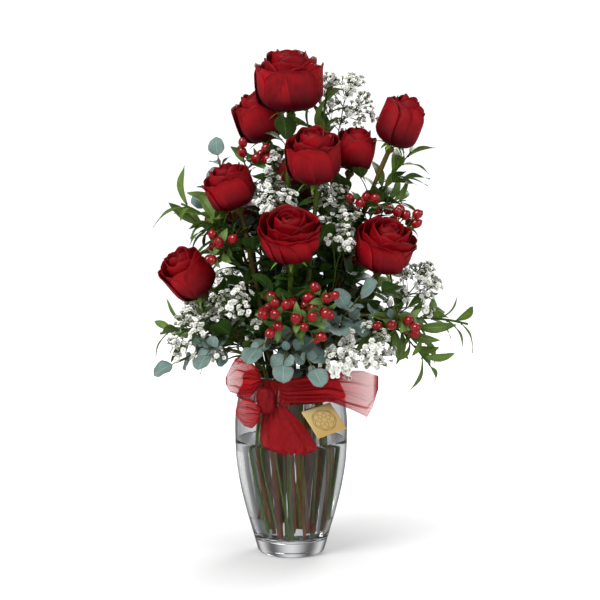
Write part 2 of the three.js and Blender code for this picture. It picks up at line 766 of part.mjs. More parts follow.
function greenBlade(green, point, tangent, order, attempt) {
  const frame = framesAlong([point, point.clone().add(tangent)], vector(0.6, -0.8, 0.1))[0];
  const turn = order * Math.PI + 0.5 * order + attempt * 0.8;
  const out = acrossAt(frame, turn);
  const spread = order === 0 ? 0.15 : green.spread;
  const way = leaning(tangent, out, spread);
  const face = vector(point.x * 0.004, -0.7, 0.7);
  const size = 1 - 0.25 * (attempt > 4 ? 1 : 0) - 0.12 * ((order * goldenShare) % 1);
  const base = point.clone().addScaledVector(tangent, -2);
  return leafBlade(base, way, face, green.length * size, green.width * size, green.outline, 0.15);
}

// A slim stalk that ends in an egg with its long axis along the stalk.
function stalkWithEgg(from, to, radius, halfLength) {
  const way = to.clone().sub(from).normalize();
  const along = (distance) => to.clone().addScaledVector(way, distance);
  const points = [from, along(-halfLength * 0.85), along(-halfLength * 0.5), along(halfLength * 0.5)];
  const radii = [twigRadius, twigRadius, radius * 0.87, radius * 0.87];
  const frames = framesAlong(points, vector(0.8, 0.4, 0.45));
  const rings = () => frames.map((frame, i) => ringAt(frame, radii[i], radii[i], thinStemSides));
  return {
    beads: [...beadsAlong([from.clone().lerp(to, 0.15), to], twigRadius), { point: to, radius }],
    solid: () => skin([[from], ...rings(), [along(halfLength)]]),
  };
}

function berrySolid(spray, route) {
  const lines = [route.points];
  spray.clusters.slice(1).forEach(({ at }) => {
    const tip = overRim(at).add(vector(0, 0, -berryStalk));
    const line = branch(spray.name, route, tip, vector(0.1, -0.2, 0.9));
    if (line) lines.push(line);
  });
  const parts = stemTubes(lines, route);
  lines.forEach((line, cluster) => {
    const { count } = spray.clusters[cluster];
    for (let i = 0; i < count; i += 1) {
      const { point, tangent } = fromTip(line, 1 + i * 3.2);
      const frame = framesAlong([point, point.clone().add(tangent)], vector(0.5, -0.8, 0.2))[0];
      const berry = growFirst(spray.name, 10, (attempt) => {
        const turn = i * goldenAngle + attempt * 0.6;
        const lean = 0.35 + 0.75 * Math.sqrt(i / count) + 0.05 * attempt;
        const out = acrossAt(frame, turn);
        const way = leaning(tangent, out, lean);
        const to = point.clone().addScaledVector(way, berryStalk * (0.8 + 0.14 * (i % 4)));
        return stalkWithEgg(point, to, berryRadius, berryHalfLength);
      });
      if (berry) parts.push(berry);
    }
  });
  return joined(parts);
}

// Points spread evenly through a head of florets, from its middle outwards.
function pointsThrough(head) {
  const middle = overRim(head.at);
  return Array.from({ length: head.count }, (_, i) => {
    const lift = 1 - (2 * (i + 0.5)) / head.count;
    const turn = i * goldenAngle;
    const flat = Math.sqrt(1 - lift * lift);
    const reach = 0.55 + 0.45 * ((i * goldenShare) % 1);
    return middle.clone().add(vector(
      head.half[0] * reach * flat * Math.cos(turn),
      head.half[1] * reach * flat * Math.sin(turn),
      head.half[2] * reach * lift,
    ));
  });
}

function breathSolid(spray, route) {
  const lines = [route.points];
  spray.heads.slice(1).forEach((head) => {
    const tip = overRim(head.at);
    const line = branch(spray.name, route, tip, vector(0, -0.2, 1));
    if (line) lines.push(line);
  });
  const parts = stemTubes(lines, route);
  lines.forEach((line, order) => {
    pointsThrough(spray.heads[order]).forEach((target, i) => {
      const ball = growFirst(spray.name, 9, (attempt) => {
        const shift = vector(Math.cos(attempt * goldenAngle), Math.sin(attempt * goldenAngle), 0.4)
          .multiplyScalar(4 * Math.sqrt(attempt));
        const to = target.clone().add(shift);
        const size = floretBallRadius * (attempt > 5 ? 0.75 : 1) * (0.85 + 0.3 * ((i * goldenShare) % 1));
        return stalkWithEgg(springFrom(line, to), to, size, size);
      });
      if (ball) parts.push(ball);
    });
  });
  return joined(parts);
}

// ---- bow and card ----

const around = (radius, turn, z) => vector(radius * Math.sin(turn), -radius * Math.cos(turn), z);
const knotHeight = bandBottom + 5;
const knotReach = glassRadius(bandBottom) + bandThickness + 2 * gap + knotHalf.depth;
const knotCentre = around(knotReach, knotTurn, knotHeight);

function bandSolid() {
  const inner = levelsBetween(bandBottom, bandTop).map((z) => [glassRadius(z) + gap, z]);
  const outer = [...inner].reverse().map(([radius, z]) => [radius + bandThickness, z]);
  return lathe([...inner, ...outer, inner[0]]);
}

function knotSolid(extra = 0) {
  const atHeight = (share) => knotCentre.clone().add(vector(0, 0, share * (knotHalf.height + extra)));
  const points = [-0.8, 0, 0.8].map(atHeight);
  const rings = framesAlong(points, around(1, knotTurn + Math.PI / 2, 0)).map((frame, i) => {
    const share = i === 1 ? 1 : 0.6;
    return ringAt(frame, (knotHalf.width + extra) * share, (knotHalf.depth + extra) * share, 12);
  });
  return skin([[atHeight(-1)], ...rings, [atHeight(1)]]);
}

// A loop of mesh as one flat cushion from the knot outwards: [x, y, z over the rim, half width, half depth].
const bowLoops = {
  bow_loop_left_upper: [
    [-38, -58, -10, 11, 5], [-46, -56, -4, 19, 6], [-57, -51, 4, 22, 6], [-66, -46, 9, 15, 4],
  ],
  bow_loop_left_lower: [
    [-38, -68, -26, 9, 4], [-43, -65, -33, 15, 5], [-50, -60, -39, 16, 5], [-56, -57, -44, 10, 4],
  ],
  bow_loop_right: [
    [-12, -73, -11, 12, 5], [14, -73, -8, 14, 6], [44, -67, -7, 16, 6], [70, -55, -13, 22, 6],
    [92, -42, -22, 24, 4],
  ],
};

function loopSolid(name) {
  const rows = bowLoops[name];
  const points = rows.map(([x, y, z]) => overRim([x, y, z]));
  const frames = framesAlong(points, vector(0, 0, 1));
  const rings = frames.map((frame, i) => ringAt(frame, rows[i][3], rows[i][4], 10));
  const beads = beadsOver(frames, rows.map((row) => row[3]), 6);
  fill(name, beads);
  const loop = skin([[points[0]], ...rings, [points[points.length - 1]]]);
  return cleaned(loop.subtract(knotSolid(gap)));
}

// A closed plate between two grids of points of the same size.
function plate(front, back) {
  const columns = front[0].length;
  const rows = front.length;
  const positions = [...front.flat(), ...back.flat()].flatMap((point) => [point.x, point.y, point.z]);
  const at = (row, column, layer) => layer * rows * columns + row * columns + column;
  const indices = [];
  const quad = (a, b, c, d) => indices.push(a, b, c, a, c, d);
  for (let row = 0; row < rows - 1; row += 1) {
    for (let column = 0; column < columns - 1; column += 1) {
      quad(at(row, column, 0), at(row, column + 1, 0), at(row + 1, column + 1, 0), at(row + 1, column, 0));
      quad(at(row, column, 1), at(row + 1, column, 1), at(row + 1, column + 1, 1), at(row, column + 1, 1));
    }
    const end = columns - 1;
    quad(at(row, 0, 0), at(row + 1, 0, 0), at(row + 1, 0, 1), at(row, 0, 1));
    quad(at(row, end, 0), at(row, end, 1), at(row + 1, end, 1), at(row + 1, end, 0));
  }
  for (let column = 0; column < columns - 1; column += 1) {
    const end = rows - 1;
    quad(at(0, column, 0), at(0, column, 1), at(0, column + 1, 1), at(0, column + 1, 0));
    quad(at(end, column, 0), at(end, column + 1, 0), at(end, column + 1, 1), at(end, column, 1));
  }
  const geometry = new THREE.BufferGeometry();
  geometry.setAttribute('position', new THREE.Float32BufferAttribute(positions, 3));
  geometry.setIndex(indices);
  return solidOf(geometry);
}

// The free end of the mesh: a fan that widens downwards and lies against the glass.
function tailSolid() {
  const shares = between(0, 1, 6);
  const grid = (offset) => shares.map((share) => {
    const z = bandBottom - gap * 2 - share * tailLength;
    const half = THREE.MathUtils.degToRad(9 + 19 * Math.sin(share * Math.PI * 0.55));
    const middle = THREE.MathUtils.degToRad(-15 + 17 * share);
    const lift = share > 0.85 ? 3 : 0;
    return between(-1, 1, 6).map((side) => {
      const rounding = share > 0.9 ? 7 * side * side : 0;
      const height = z + rounding + lift;
      return around(glassRadius(height) + 3 * gap + offset, middle + half * side, height);
    });
  });
  const front = grid(tailThickness);
  front.forEach((row) => fill('bow_tail', beadsAlong(row, 2)));
  return cleaned(plate(front, grid(0)).subtract(knotSolid(gap)));
}

// The card leans back against the bow, one corner down: its two edges as slopes from a corner.
const cardCentre = overRim([36, -71, -43]);
const cardEdge = vector(28, 16.2, 7).normalize();
const cardRise = vector(-16, 17.7, 23).normalize();

function cardSolid() {
  const turn = new THREE.Matrix4().makeBasis(cardEdge, cardRise, cardEdge.clone().cross(cardRise));
  const geometry = new THREE.BoxGeometry(cardSide, cardSide, cardThickness).applyMatrix4(turn)
    .translate(cardCentre.x, cardCentre.y, cardCentre.z);
  between(-0.5, 0.5, 8).forEach((share) => {
    const middle = cardCentre.clone().addScaledVector(cardRise, share * cardSide);
    const from = middle.clone().addScaledVector(cardEdge, -cardSide / 2);
    const to = middle.clone().addScaledVector(cardEdge, cardSide / 2);
    fill('tag_card', beadsAlong([from, to], 3));
  });
  return solidOf(geometry);
}

// ---- assembly ----

const finishes = {
  glass: { color: 0xe9f0ee, roughness: 0.05, metalness: 0, transparent: true, opacity: 0.35 },
  water: { color: 0xdfe9ea, roughness: 0.05, metalness: 0, transparent: true, opacity: 0.4 },
  petal: { color: 0x81000f, roughness: 0.7, metalness: 0 },
  roseStem: { color: 0x545b3c, roughness: 0.6, metalness: 0 },
  mesh: { color: 0xa11220, roughness: 0.85, metalness: 0 },
  card: { color: 0xb8995f, roughness: 0.5, metalness: 0.2 },
  berry: { color: 0x9b1119, roughness: 0.3, metalness: 0 },
  breath: { color: 0xd1d4cd, roughness: 0.85, metalness: 0 },
  eucalyptus: { color: 0x71837f, roughness: 0.7, metalness: 0 },
  ruscus: { color: 0x46543a, roughness: 0.5, metalness: 0 },
  salal: { color: 0x333c27, roughness: 0.45, metalness: 0 },
};

const bouquet = new THREE.Group();

function place(name, solid, finish) {
  const { vertProperties, triVerts } = solid.getMesh();
  const geometry = new THREE.BufferGeometry();
  geometry.setAttribute('position', new THREE.BufferAttribute(new Float32Array(vertProperties), 3));
  geometry.setIndex(new THREE.BufferAttribute(new Uint32Array(triVerts), 1));
  geometry.computeVertexNormals();
  const mesh = new THREE.Mesh(geometry, new THREE.MeshStandardMaterial(finishes[finish]));
  mesh.name = name;
  bouquet.add(mesh);
}

placeRoses();

const roseRoutes = roses.map((rose, i) => roseRoute(rose, i));
const greenRoutes = greens.map(({ name, tips, length }, i) => {
  const [tip] = tips;
  const order = roses.length + i;
  return routeTo(name, shootEnd(tip, length), vector(...tip.aim), greenStemRadius, thinStemSides, order);
});
const berryRoutes = berrySprays.map(({ name, clusters }, i) => {
  const tip = overRim(clusters[0].at).add(vector(0, 0, -berryStalk));
  const order = roses.length + greens.length + i;
  return routeTo(name, tip, vector(0.05, -0.2, 0.9), berryStemRadius, thinStemSides, order);
});
const breathRoutes = breathSprays.map(({ name, heads }, i) => {
  const order = roses.length + greens.length + berrySprays.length + i;
  return routeTo(name, overRim(heads[0].at), vector(0, -0.1, 1), breathStemRadius, thinStemSides, order);
});
const routes = [...roseRoutes, ...greenRoutes, ...berryRoutes, ...breathRoutes];
settle(routes);

bigBodies.push({
  owner: 'vase',
  holds: (point, margin) => point.z < rim + margin
    && lengthInPlan(point) < glassRadius(Math.min(point.z, rim)) + bandThickness + gap + margin,
});
bigBodies.push({
  owner: 'bow_knot',
  holds: (point, margin) => point.distanceTo(knotCentre) < knotHalf.height + margin,
});
roses.forEach((rose) => bigBodies.push({
  owner: rose.bloom,
  holds: (point, margin) => {
    const from = point.clone().sub(rose.base);
    const height = from.dot(rose.axis);
    const radial = Math.sqrt(Math.max(0, from.lengthSq() - height * height));
    const share = THREE.MathUtils.clamp(height / rose.height, 0, 1);
    return height > -margin && height < rose.height + margin
      && radial < (rose.width / 2) * bloomShare(share, rose.open) + margin;
  },
}));
routes.forEach((route) => fill(route.name, beadsAlong(route.points, route.radius)));
roses.forEach((rose) => fill(rose.stem, beadsAlong([rose.hip, roseNeck(rose)], hipRadius)));

place('vase', vaseSolid(), 'glass');
place('water', waterSolid(routes), 'water');
place('bow_band', bandSolid(), 'mesh');
place('bow_knot', knotSolid(), 'mesh');
Object.keys(bowLoops).forEach((name) => place(name, loopSolid(name), 'mesh'));
place('bow_tail', tailSolid(), 'mesh');
place('tag_card', cardSolid(), 'card');
roses.forEach((rose, i) => {
  place(rose.stem, roseStemSolid(rose, roseRoutes[i]), 'roseStem');
  place(rose.bloom, bloomSolid(rose), 'petal');
});
berrySprays.forEach((spray, i) => place(spray.name, berrySolid(spray, berryRoutes[i]), 'berry'));
greens.forEach((green, i) => place(green.name, greenSolid(green, greenRoutes[i]), green.name.split('_')[0]));
breathSprays.forEach((spray, i) => place(spray.name, breathSolid(spray, breathRoutes[i]), 'breath'));

export default bouquet;
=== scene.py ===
import bpy
import bmesh
import heapq
import math
import random
import numpy as np
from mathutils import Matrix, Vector


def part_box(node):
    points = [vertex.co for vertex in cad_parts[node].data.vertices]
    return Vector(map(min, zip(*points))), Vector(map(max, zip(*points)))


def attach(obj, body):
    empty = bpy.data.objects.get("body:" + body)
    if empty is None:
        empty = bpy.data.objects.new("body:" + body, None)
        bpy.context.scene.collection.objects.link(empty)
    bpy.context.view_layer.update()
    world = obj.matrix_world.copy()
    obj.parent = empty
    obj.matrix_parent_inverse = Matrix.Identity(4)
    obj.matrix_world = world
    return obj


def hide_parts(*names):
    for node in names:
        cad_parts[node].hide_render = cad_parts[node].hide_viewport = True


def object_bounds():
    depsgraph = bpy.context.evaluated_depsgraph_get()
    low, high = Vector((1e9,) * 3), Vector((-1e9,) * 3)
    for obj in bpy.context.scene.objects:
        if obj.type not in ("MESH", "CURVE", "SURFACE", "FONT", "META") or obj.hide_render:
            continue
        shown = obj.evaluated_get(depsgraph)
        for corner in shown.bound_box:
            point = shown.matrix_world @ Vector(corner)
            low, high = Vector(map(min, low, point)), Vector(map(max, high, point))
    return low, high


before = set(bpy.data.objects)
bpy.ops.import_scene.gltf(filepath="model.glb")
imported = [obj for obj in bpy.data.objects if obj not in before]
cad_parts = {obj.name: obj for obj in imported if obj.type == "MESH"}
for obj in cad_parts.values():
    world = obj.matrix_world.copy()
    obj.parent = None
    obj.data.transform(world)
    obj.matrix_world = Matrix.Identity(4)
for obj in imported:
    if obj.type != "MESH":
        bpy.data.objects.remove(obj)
cadLow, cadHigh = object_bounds()
mm = 0.001
goldenAngle = math.radians(137.508)
up = Vector((0, 0, 1))


def colour(code):  # sRGB hex to linear
    parts = [int(code[i:i + 2], 16) / 255 for i in (0, 2, 4)]
    return [p / 12.92 if p <= 0.04045 else ((p + 0.055) / 1.055) ** 2.4 for p in parts] + [1]


def addNode(tree, kind, inputs=None, output=0, stops=(), **settings):
    # a node with its settings; an input takes a value or another node's output, and a ramp takes its stops
    node = tree.nodes.new("ShaderNode" + kind)
    for name, value in settings.items():
        setattr(node, name, value)
    for name, value in (inputs or {}).items():
        if isinstance(value, bpy.types.NodeSocket):
            tree.links.new(value, node.inputs[name])
        else:
            node.inputs[name].default_value = value
    if stops:
        elements = node.color_ramp.elements
        while len(elements) < len(stops):
            elements.new(0.5)
        for element, (place, value) in zip(elements, stops):
            element.position = place
            element.color = colour(value) if isinstance(value, str) else [value, value, value, 1]
    return node.outputs[output] if node.outputs else None


def newMaterial(name):
    material = bpy.data.materials.new(name)
    material.use_nodes = True
    material.node_tree.nodes.clear()
    return material, material.node_tree


def newSkin():
    return {"points": [], "faces": [], "places": [], "shades": [], "slots": []}


def addSheet(skin, rows, places, shade=0.5, slot=0, closed=False):
    first = len(skin["points"])
    across = len(rows[0])
    for row, placeRow in zip(rows, places):
        skin["points"].extend(row)
        skin["places"].extend(placeRow)
    shades = shade if isinstance(shade, list) else [shade] * (across * len(rows))
    skin["shades"].extend(shades)
    for i in range(len(rows) - 1):
        for j in range(across if closed else across - 1):
            k = (j + 1) % across
            a = first + i * across
            skin["faces"].append((a + j, a + k, a + across + k, a + across + j))
            skin["slots"].append(slot)
    return first


def addCap(skin, first, across, point, outward, slot=0):
    # closes the open end of a tube with a fan to one point
    tip = len(skin["points"])
    skin["points"].append(point)
    skin["places"].append(skin["places"][first])
    skin["shades"].append(skin["shades"][first])
    for j in range(across):
        k = (j + 1) % across
        face = (first + j, first + k, tip) if outward else (first + k, first + j, tip)
        skin["faces"].append(face)
        skin["slots"].append(slot)


def frames(line):
    # at each point of a line its direction and two sides, with no twist
    directions = []
    for i in range(len(line)):
        directions.append((line[min(i + 1, len(line) - 1)] - line[max(i - 1, 0)]).normalized())
    side = directions[0].orthogonal().normalized()
    made = []
    for direction in directions:
        side = side - direction * side.dot(direction)
        side = side.normalized() if side.length > 1e-6 else direction.orthogonal().normalized()
        made.append((direction, side, direction.cross(side)))
    return made


def addTube(skin, line, radii, sides=8, shade=0.5, slot=0):
    if not isinstance(radii, (list, tuple)):
        radii = [radii] * len(line)
    rows, places, along = [], [], 0.0
    for i, (point, radius, (_, side, other)) in enumerate(zip(line, radii, frames(line))):
        along += (point - line[i - 1]).length if i else 0.0
        turns = [2 * math.pi * j / sides for j in range(sides)]
        rows.append([point + side * (math.cos(t) * radius) + other * (math.sin(t) * radius) for t in turns])
        places.append([(j / sides, along) for j in range(sides)])
    first = addSheet(skin, rows, places, shade, slot, closed=True)
    addCap(skin, first, sides, line[0], False, slot)
    addCap(skin, first + (len(line) - 1) * sides, sides, line[-1], True, slot)


def smoothLine(points, count):
    # a smooth line of evenly shared points through the given ones
    points = [Vector(p) for p in points]
    if len(points) == 2:
        return [points[0].lerp(points[1], i / (count - 1)) for i in range(count)]
    lengths = [0.0]
    for a, b in zip(points, points[1:]):
        lengths.append(lengths[-1] + (b - a).length)
    made = []
    at = 0
    for i in range(count):
        want = lengths[-1] * i / (count - 1)
        while at < len(points) - 2 and lengths[at + 1] < want:
            at += 1
        p1, p2 = points[at], points[at + 1]
        p0 = points[at - 1] if at else p1 * 2 - p2
        p3 = points[at + 2] if at + 2 < len(points) else p2 * 2 - p1
        t = (want - lengths[at]) / max(lengths[at + 1] - lengths[at], 1e-9)
        made.append(0.5 * (2 * p1 + (p2 - p0) * t + (2 * p0 - 5 * p1 + 4 * p2 - p3) * t * t
                           + (3 * p1 - p0 - 3 * p2 + p3) * t * t * t))
    return made


def relaxed(points, rounds=2):
    points = [Vector(p) for p in points]
    for _ in range(rounds):
        between = [(a + b * 2 + c) / 4 for a, b, c in zip(points, points[1:], points[2:])]
        points = [points[0]] + between + [points[-1]]
    return points


def makePiece(name, skin, materials, nodes, thickness=0.0):
    mesh = bpy.data.meshes.new(name)
    mesh.from_pydata([tuple(p) for p in skin["points"]], [], skin["faces"])
    placed = mesh.uv_layers.new(name="place")
    corners = np.zeros(len(mesh.loops), int)
    mesh.loops.foreach_get("vertex_index", corners)
    placed.data.foreach_set("uv", np.array(skin["places"], np.float32)[corners].ravel())
    shade = mesh.attributes.new("shade", "FLOAT", "POINT")
    shade.data.foreach_set("value", np.array(skin["shades"], np.float32))
    for material in materials:
        mesh.materials.append(material)
    mesh.polygons.foreach_set("material_index", skin["slots"])
    mesh.polygons.foreach_set("use_smooth", [True] * len(mesh.polygons))
    mesh.update()
    piece = bpy.data.objects.new(name, mesh)
    bpy.context.scene.collection.objects.link(piece)
    if thickness:
        solid = piece.modifiers.new("thickness", "SOLIDIFY")
        solid.thickness = thickness
        solid.offset = 0
    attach(piece, "root")
    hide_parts(*nodes)
    return piece


def solidPoints(node):
    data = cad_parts[node].data
    points = np.zeros(len(data.vertices) * 3)
    data.vertices.foreach_get("co", points)
    return points.reshape(-1, 3)


def solidNet(node, above, longest):
    # the node's mesh over a level, every edge short, as points and edges
    net = bmesh.new()
    net.from_mesh(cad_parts[node].data)
    bmesh.ops.remove_doubles(net, verts=net.verts, dist=0.002 * mm)
    everything = net.verts[:] + net.edges[:] + net.faces[:]
    bmesh.ops.bisect_plane(net, geom=everything, plane_co=(0, 0, above), plane_no=(0, 0, 1), clear_inner=True)
    for _ in range(7):
        longEdges = [e for e in net.edges if e.calc_length() > longest]
        if not longEdges:
            break
        bmesh.ops.subdivide_edges(net, edges=longEdges, cuts=1)
        bmesh.ops.triangulate(net, faces=[f for f in net.faces if len(f.verts) > 3])
    net.verts.index_update()
    points = np.array([v.co for v in net.verts])
    edges = np.array([[e.verts[0].index, e.verts[1].index] for e in net.edges])
    net.free()
    return points, edges


def distances(points, edges, starts):
    near = [[] for _ in points]
    lengths = np.linalg.norm(points[edges[:, 0]] - points[edges[:, 1]], axis=1)
    for (a, b), length in zip(edges.tolist(), lengths.tolist()):
        near[a].append((b, length))
        near[b].append((a, length))
    reach = [math.inf] * len(points)
    queue = []
    for start in starts:
        reach[start] = 0.0
        heapq.heappush(queue, (0.0, start))
    while queue:
        d, at = heapq.heappop(queue)
        if d > reach[at]:
            continue
        for other, length in near[at]:
            if d + length < reach[other]:
                reach[other] = d + length
                heapq.heappush(queue, (d + length, other))
    return np.array(reach)


def rings(node, above, step, longest):
    # the solid cut into short lengths along its surface, each with the one that it grows from
    points, edges = solidNet(node, above, longest)
    reach = distances(points, edges, np.nonzero(points[:, 2] < above + 0.01 * mm)[0].tolist())
    edges = edges[np.isfinite(reach[edges]).all(axis=1)]
    level = (np.where(np.isfinite(reach), reach, 0) / step).astype(int)
    owner = list(range(len(points)))

    def root(i):
        while owner[i] != i:
            owner[i] = owner[owner[i]]
            i = owner[i]
        return i

    same = level[edges[:, 0]] == level[edges[:, 1]]
    for a, b in edges[same].tolist():
        owner[root(a)] = root(b)
    groups = {}
    for i in range(len(points)):
        groups.setdefault(root(i), []).append(i)
    found = {}
    for key, group in groups.items():
        found[key] = {"points": points[group], "level": int(level[group[0]]), "from": None, "next": []}
    for a, b in edges[~same].tolist():
        low, high = (root(a), root(b)) if level[a] < level[b] else (root(b), root(a))
        if found[high]["from"] is None and found[low]["level"] == found[high]["level"] - 1:
            found[high]["from"] = low
            found[low]["next"].append(high)
    return found


# above: where a sprig is read from; step: a ring's length; longest: mesh edge; shortest: rings in the shortest
# twig; organFrom: how wide a leaf, berry or head is at least
tracing = {"above": 0.2, "step": 4 * mm, "longest": 2.2 * mm, "shortest": 3, "organFrom": 5.2 * mm}


def shoots(node):
    # the lines of a sprig from the vase up, each with the leaf, berry or floret head that ends it
    found = rings(node, tracing["above"], tracing["step"], tracing["longest"])
    depth = {}
    for key in sorted(found, key=lambda k: -found[k]["level"]):
        depth[key] = 1 + max([depth[n] for n in found[key]["next"]] or [0])
    start = max((k for k in found if found[k]["level"] == 0), key=lambda k: depth[k])
    made, waiting = [], [(None, start)]
    while waiting:
        fork, key = waiting.pop(0)
        line = [key]
        while found[key]["next"]:
            following = sorted(found[key]["next"], key=lambda n: -depth[n])
            waiting.extend((key, other) for other in following[1:] if depth[other] >= tracing["shortest"])
            key = following[0]
            line.append(key)
        made.append(readShoot(found, fork, line))
    return made


def readShoot(found, fork, line):
    centres = [Vector(found[k]["points"].mean(axis=0)) for k in line]
    widths = []
    for i, key in enumerate(line):
        along = (centres[min(i + 1, len(line) - 1)] - centres[max(i - 1, 0)]).normalized()
        away = found[key]["points"] - np.array(centres[i])
        away = away - np.outer(away @ np.array(along), along)
        spread = np.linalg.svd(away, full_matrices=False)[2] if len(away) > 2 else np.eye(3)
        widths.append(float(np.ptp(away @ spread[0])))
    organ = len(line)
    while organ > 0 and (widths[organ - 1] > tracing["organFrom"] or organ >= len(line) - 1):
        organ -= 1
    cloud = np.concatenate([found[k]["points"] for k in line[organ:]])
    base = centres[max(organ - 1, 0)] if organ < len(centres) else centres[-1]
    if organ == 0 and fork is not None:
        base = Vector(found[fork]["points"].mean(axis=0))
    reachOut = np.linalg.norm(cloud - np.array(base), axis=1)
    tip = Vector(cloud[int(reachOut.argmax())])
    axes = np.linalg.svd(cloud - cloud.mean(axis=0), full_matrices=False)[2]
    flat = Vector(axes[2])
    stem = ([Vector(found[fork]["points"].mean(axis=0))] if fork is not None else []) + centres[:organ]
    return {
        "stem": stem, "base": base, "tip": tip, "middle": Vector(cloud.mean(axis=0)),
        "flat": flat if flat.z > 0 else -flat,
        "width": float(np.ptp((cloud - cloud.mean(axis=0)) @ axes[1])),
        "thick": float(np.ptp((cloud - cloud.mean(axis=0)) @ axes[2])),
    }


def stemLine(node, low, high, step=12 * mm):
    # the middle of an upright stem at even levels, from the edges that cross each level
    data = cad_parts[node].data
    points = solidPoints(node)
    ends = np.array([e.vertices[:] for e in data.edges])
    a, b = points[ends[:, 0]], points[ends[:, 1]]
    line = []
    for level in np.arange(low, high, step):
        crossing = (a[:, 2] - level) * (b[:, 2] - level) < 0
        if not crossing.any():
            continue
        share = ((level - a[crossing, 2]) / (b[crossing, 2] - a[crossing, 2]))[:, None]
        cuts = a[crossing] + (b[crossing] - a[crossing]) * share
        line.append(Vector((cuts.min(axis=0) + cuts.max(axis=0)) / 2))
    return line


def velvetPetal():
    # fresh rose petal, grown with a nap of tiny cones: deep soft red, hardly any gloss, with painted shade that runs
    # nearly black towards the heart of the bloom
    material, tree = newMaterial("fresh rose petal, velvety")
    place = addNode(tree, "TexCoord", output="Object")
    shade = addNode(tree, "Attribute", output="Fac", attribute_name="shade")
    sheet = addNode(tree, "UVMap", uv_map="place")
    across = addNode(tree, "SeparateXYZ", {0: sheet}, 0)
    along = addNode(tree, "SeparateXYZ", {0: sheet}, 1)
    veins = addNode(tree, "TexWave", {
        "Vector": addNode(tree, "CombineXYZ", {0: across, 1: along}),
        "Scale": 5.5, "Distortion": 1.6, "Detail": 2.0, "Detail Scale": 1.2,
    }, "Fac")
    mottle = addNode(tree, "TexNoise", {"Vector": place, "Scale": 1 / (9 * mm), "Detail": 3.0}, "Fac")
    grain = addNode(tree, "TexNoise", {"Vector": place, "Scale": 1 / (0.5 * mm), "Detail": 2.0}, "Fac")
    # painted shade: along each petal the red runs from nearly black at its foot, deep in the bloom, to brightest a
    # little short of its rim
    paintedShadeToHeart = [(0.0, "1a0002"), (0.4, "52000a"), (0.84, "9a0210"), (1.0, "80000c")]
    body = addNode(tree, "ValToRGB", {0: along}, stops=paintedShadeToHeart)
    deep = addNode(tree, "Mix", {0: mottle, 6: colour("340005"), 7: body}, 2, data_type="RGBA")
    shaded = addNode(tree, "Mix", {0: shade, 6: deep, 7: body}, 2, data_type="RGBA")
    veinShare = addNode(tree, "Math", {0: veins, 1: 0.12}, operation="MULTIPLY")
    tone = addNode(tree, "Mix", {0: veinShare, 6: shaded, 7: colour("4d0109")}, 2, data_type="RGBA")
    height = addNode(tree, "Math", {0: veins, 1: 0.6, 2: grain}, operation="MULTIPLY_ADD")
    nap = addNode(tree, "Bump", {"Height": height, "Strength": 0.5, "Distance": 0.25 * mm})
    shader = addNode(tree, "BsdfPrincipled", {
        "Base Color": tone, "Normal": nap, "Roughness": 0.5, "Specular IOR Level": 0.12,
        "Sheen Weight": 0.03, "Sheen Roughness": 0.4, "Sheen Tint": colour("f04a60"),
    })
    addNode(tree, "OutputMaterial", {"Surface": shader})
    return material


def stemSkin(name, dark, light, roughness=0.5):
    # young bark, smooth with faint long ridges: full in colour under water, and painted shade that turns it a dull
    # dark green above the water
    material, tree = newMaterial(name)
    place = addNode(tree, "TexCoord", output="Object")
    longSpots = addNode(tree, "Mapping", {"Vector": place, "Scale": (1, 1, 0.35)})
    longRidges = addNode(tree, "Mapping", {"Vector": place, "Scale": (1, 1, 0.08)})
    mottle = addNode(tree, "TexNoise", {"Vector": longSpots, "Scale": 1 / (14 * mm), "Detail": 4.0}, "Fac")
    fibres = addNode(tree, "TexNoise", {"Vector": longRidges, "Scale": 1 / (0.8 * mm), "Detail": 2.0}, "Fac")
    tone = addNode(tree, "Mix", {0: mottle, 6: colour(dark), 7: colour(light)}, 2, data_type="RGBA")
    fibreShare = addNode(tree, "Math", {0: fibres, 1: 0.3}, operation="MULTIPLY")
    tone = addNode(tree, "Mix", {0: fibreShare, 6: tone, 7: colour(dark)}, 2, data_type="RGBA")
    height = addNode(tree, "SeparateXYZ", {0: place}, 2)
    # painted shade: between 0.13 m and 0.2 m high the bark goes most of the way to a dull dark green, and stays so
    # above
    paintedShadeAboveWater = addNode(tree, "ValToRGB", {0: height}, stops=[(0.13, 0.0), (0.2, 0.95)])
    dull = addNode(tree, "Mix", {0: 0.9, 6: tone, 7: colour("2c3c14")}, 2, data_type="RGBA")
    tone = addNode(tree, "Mix", {0: paintedShadeAboveWater, 6: tone, 7: dull}, 2, data_type="RGBA")
    ridges = addNode(tree, "Bump", {"Height": fibres, "Strength": 0.5, "Distance": 0.3 * mm})
    shader = addNode(tree, "BsdfPrincipled", {
        "Base Color": tone, "Normal": ridges, "Roughness": roughness, "Specular IOR Level": 0.2,
    })
    addNode(tree, "OutputMaterial", {"Surface": shader})
    return material


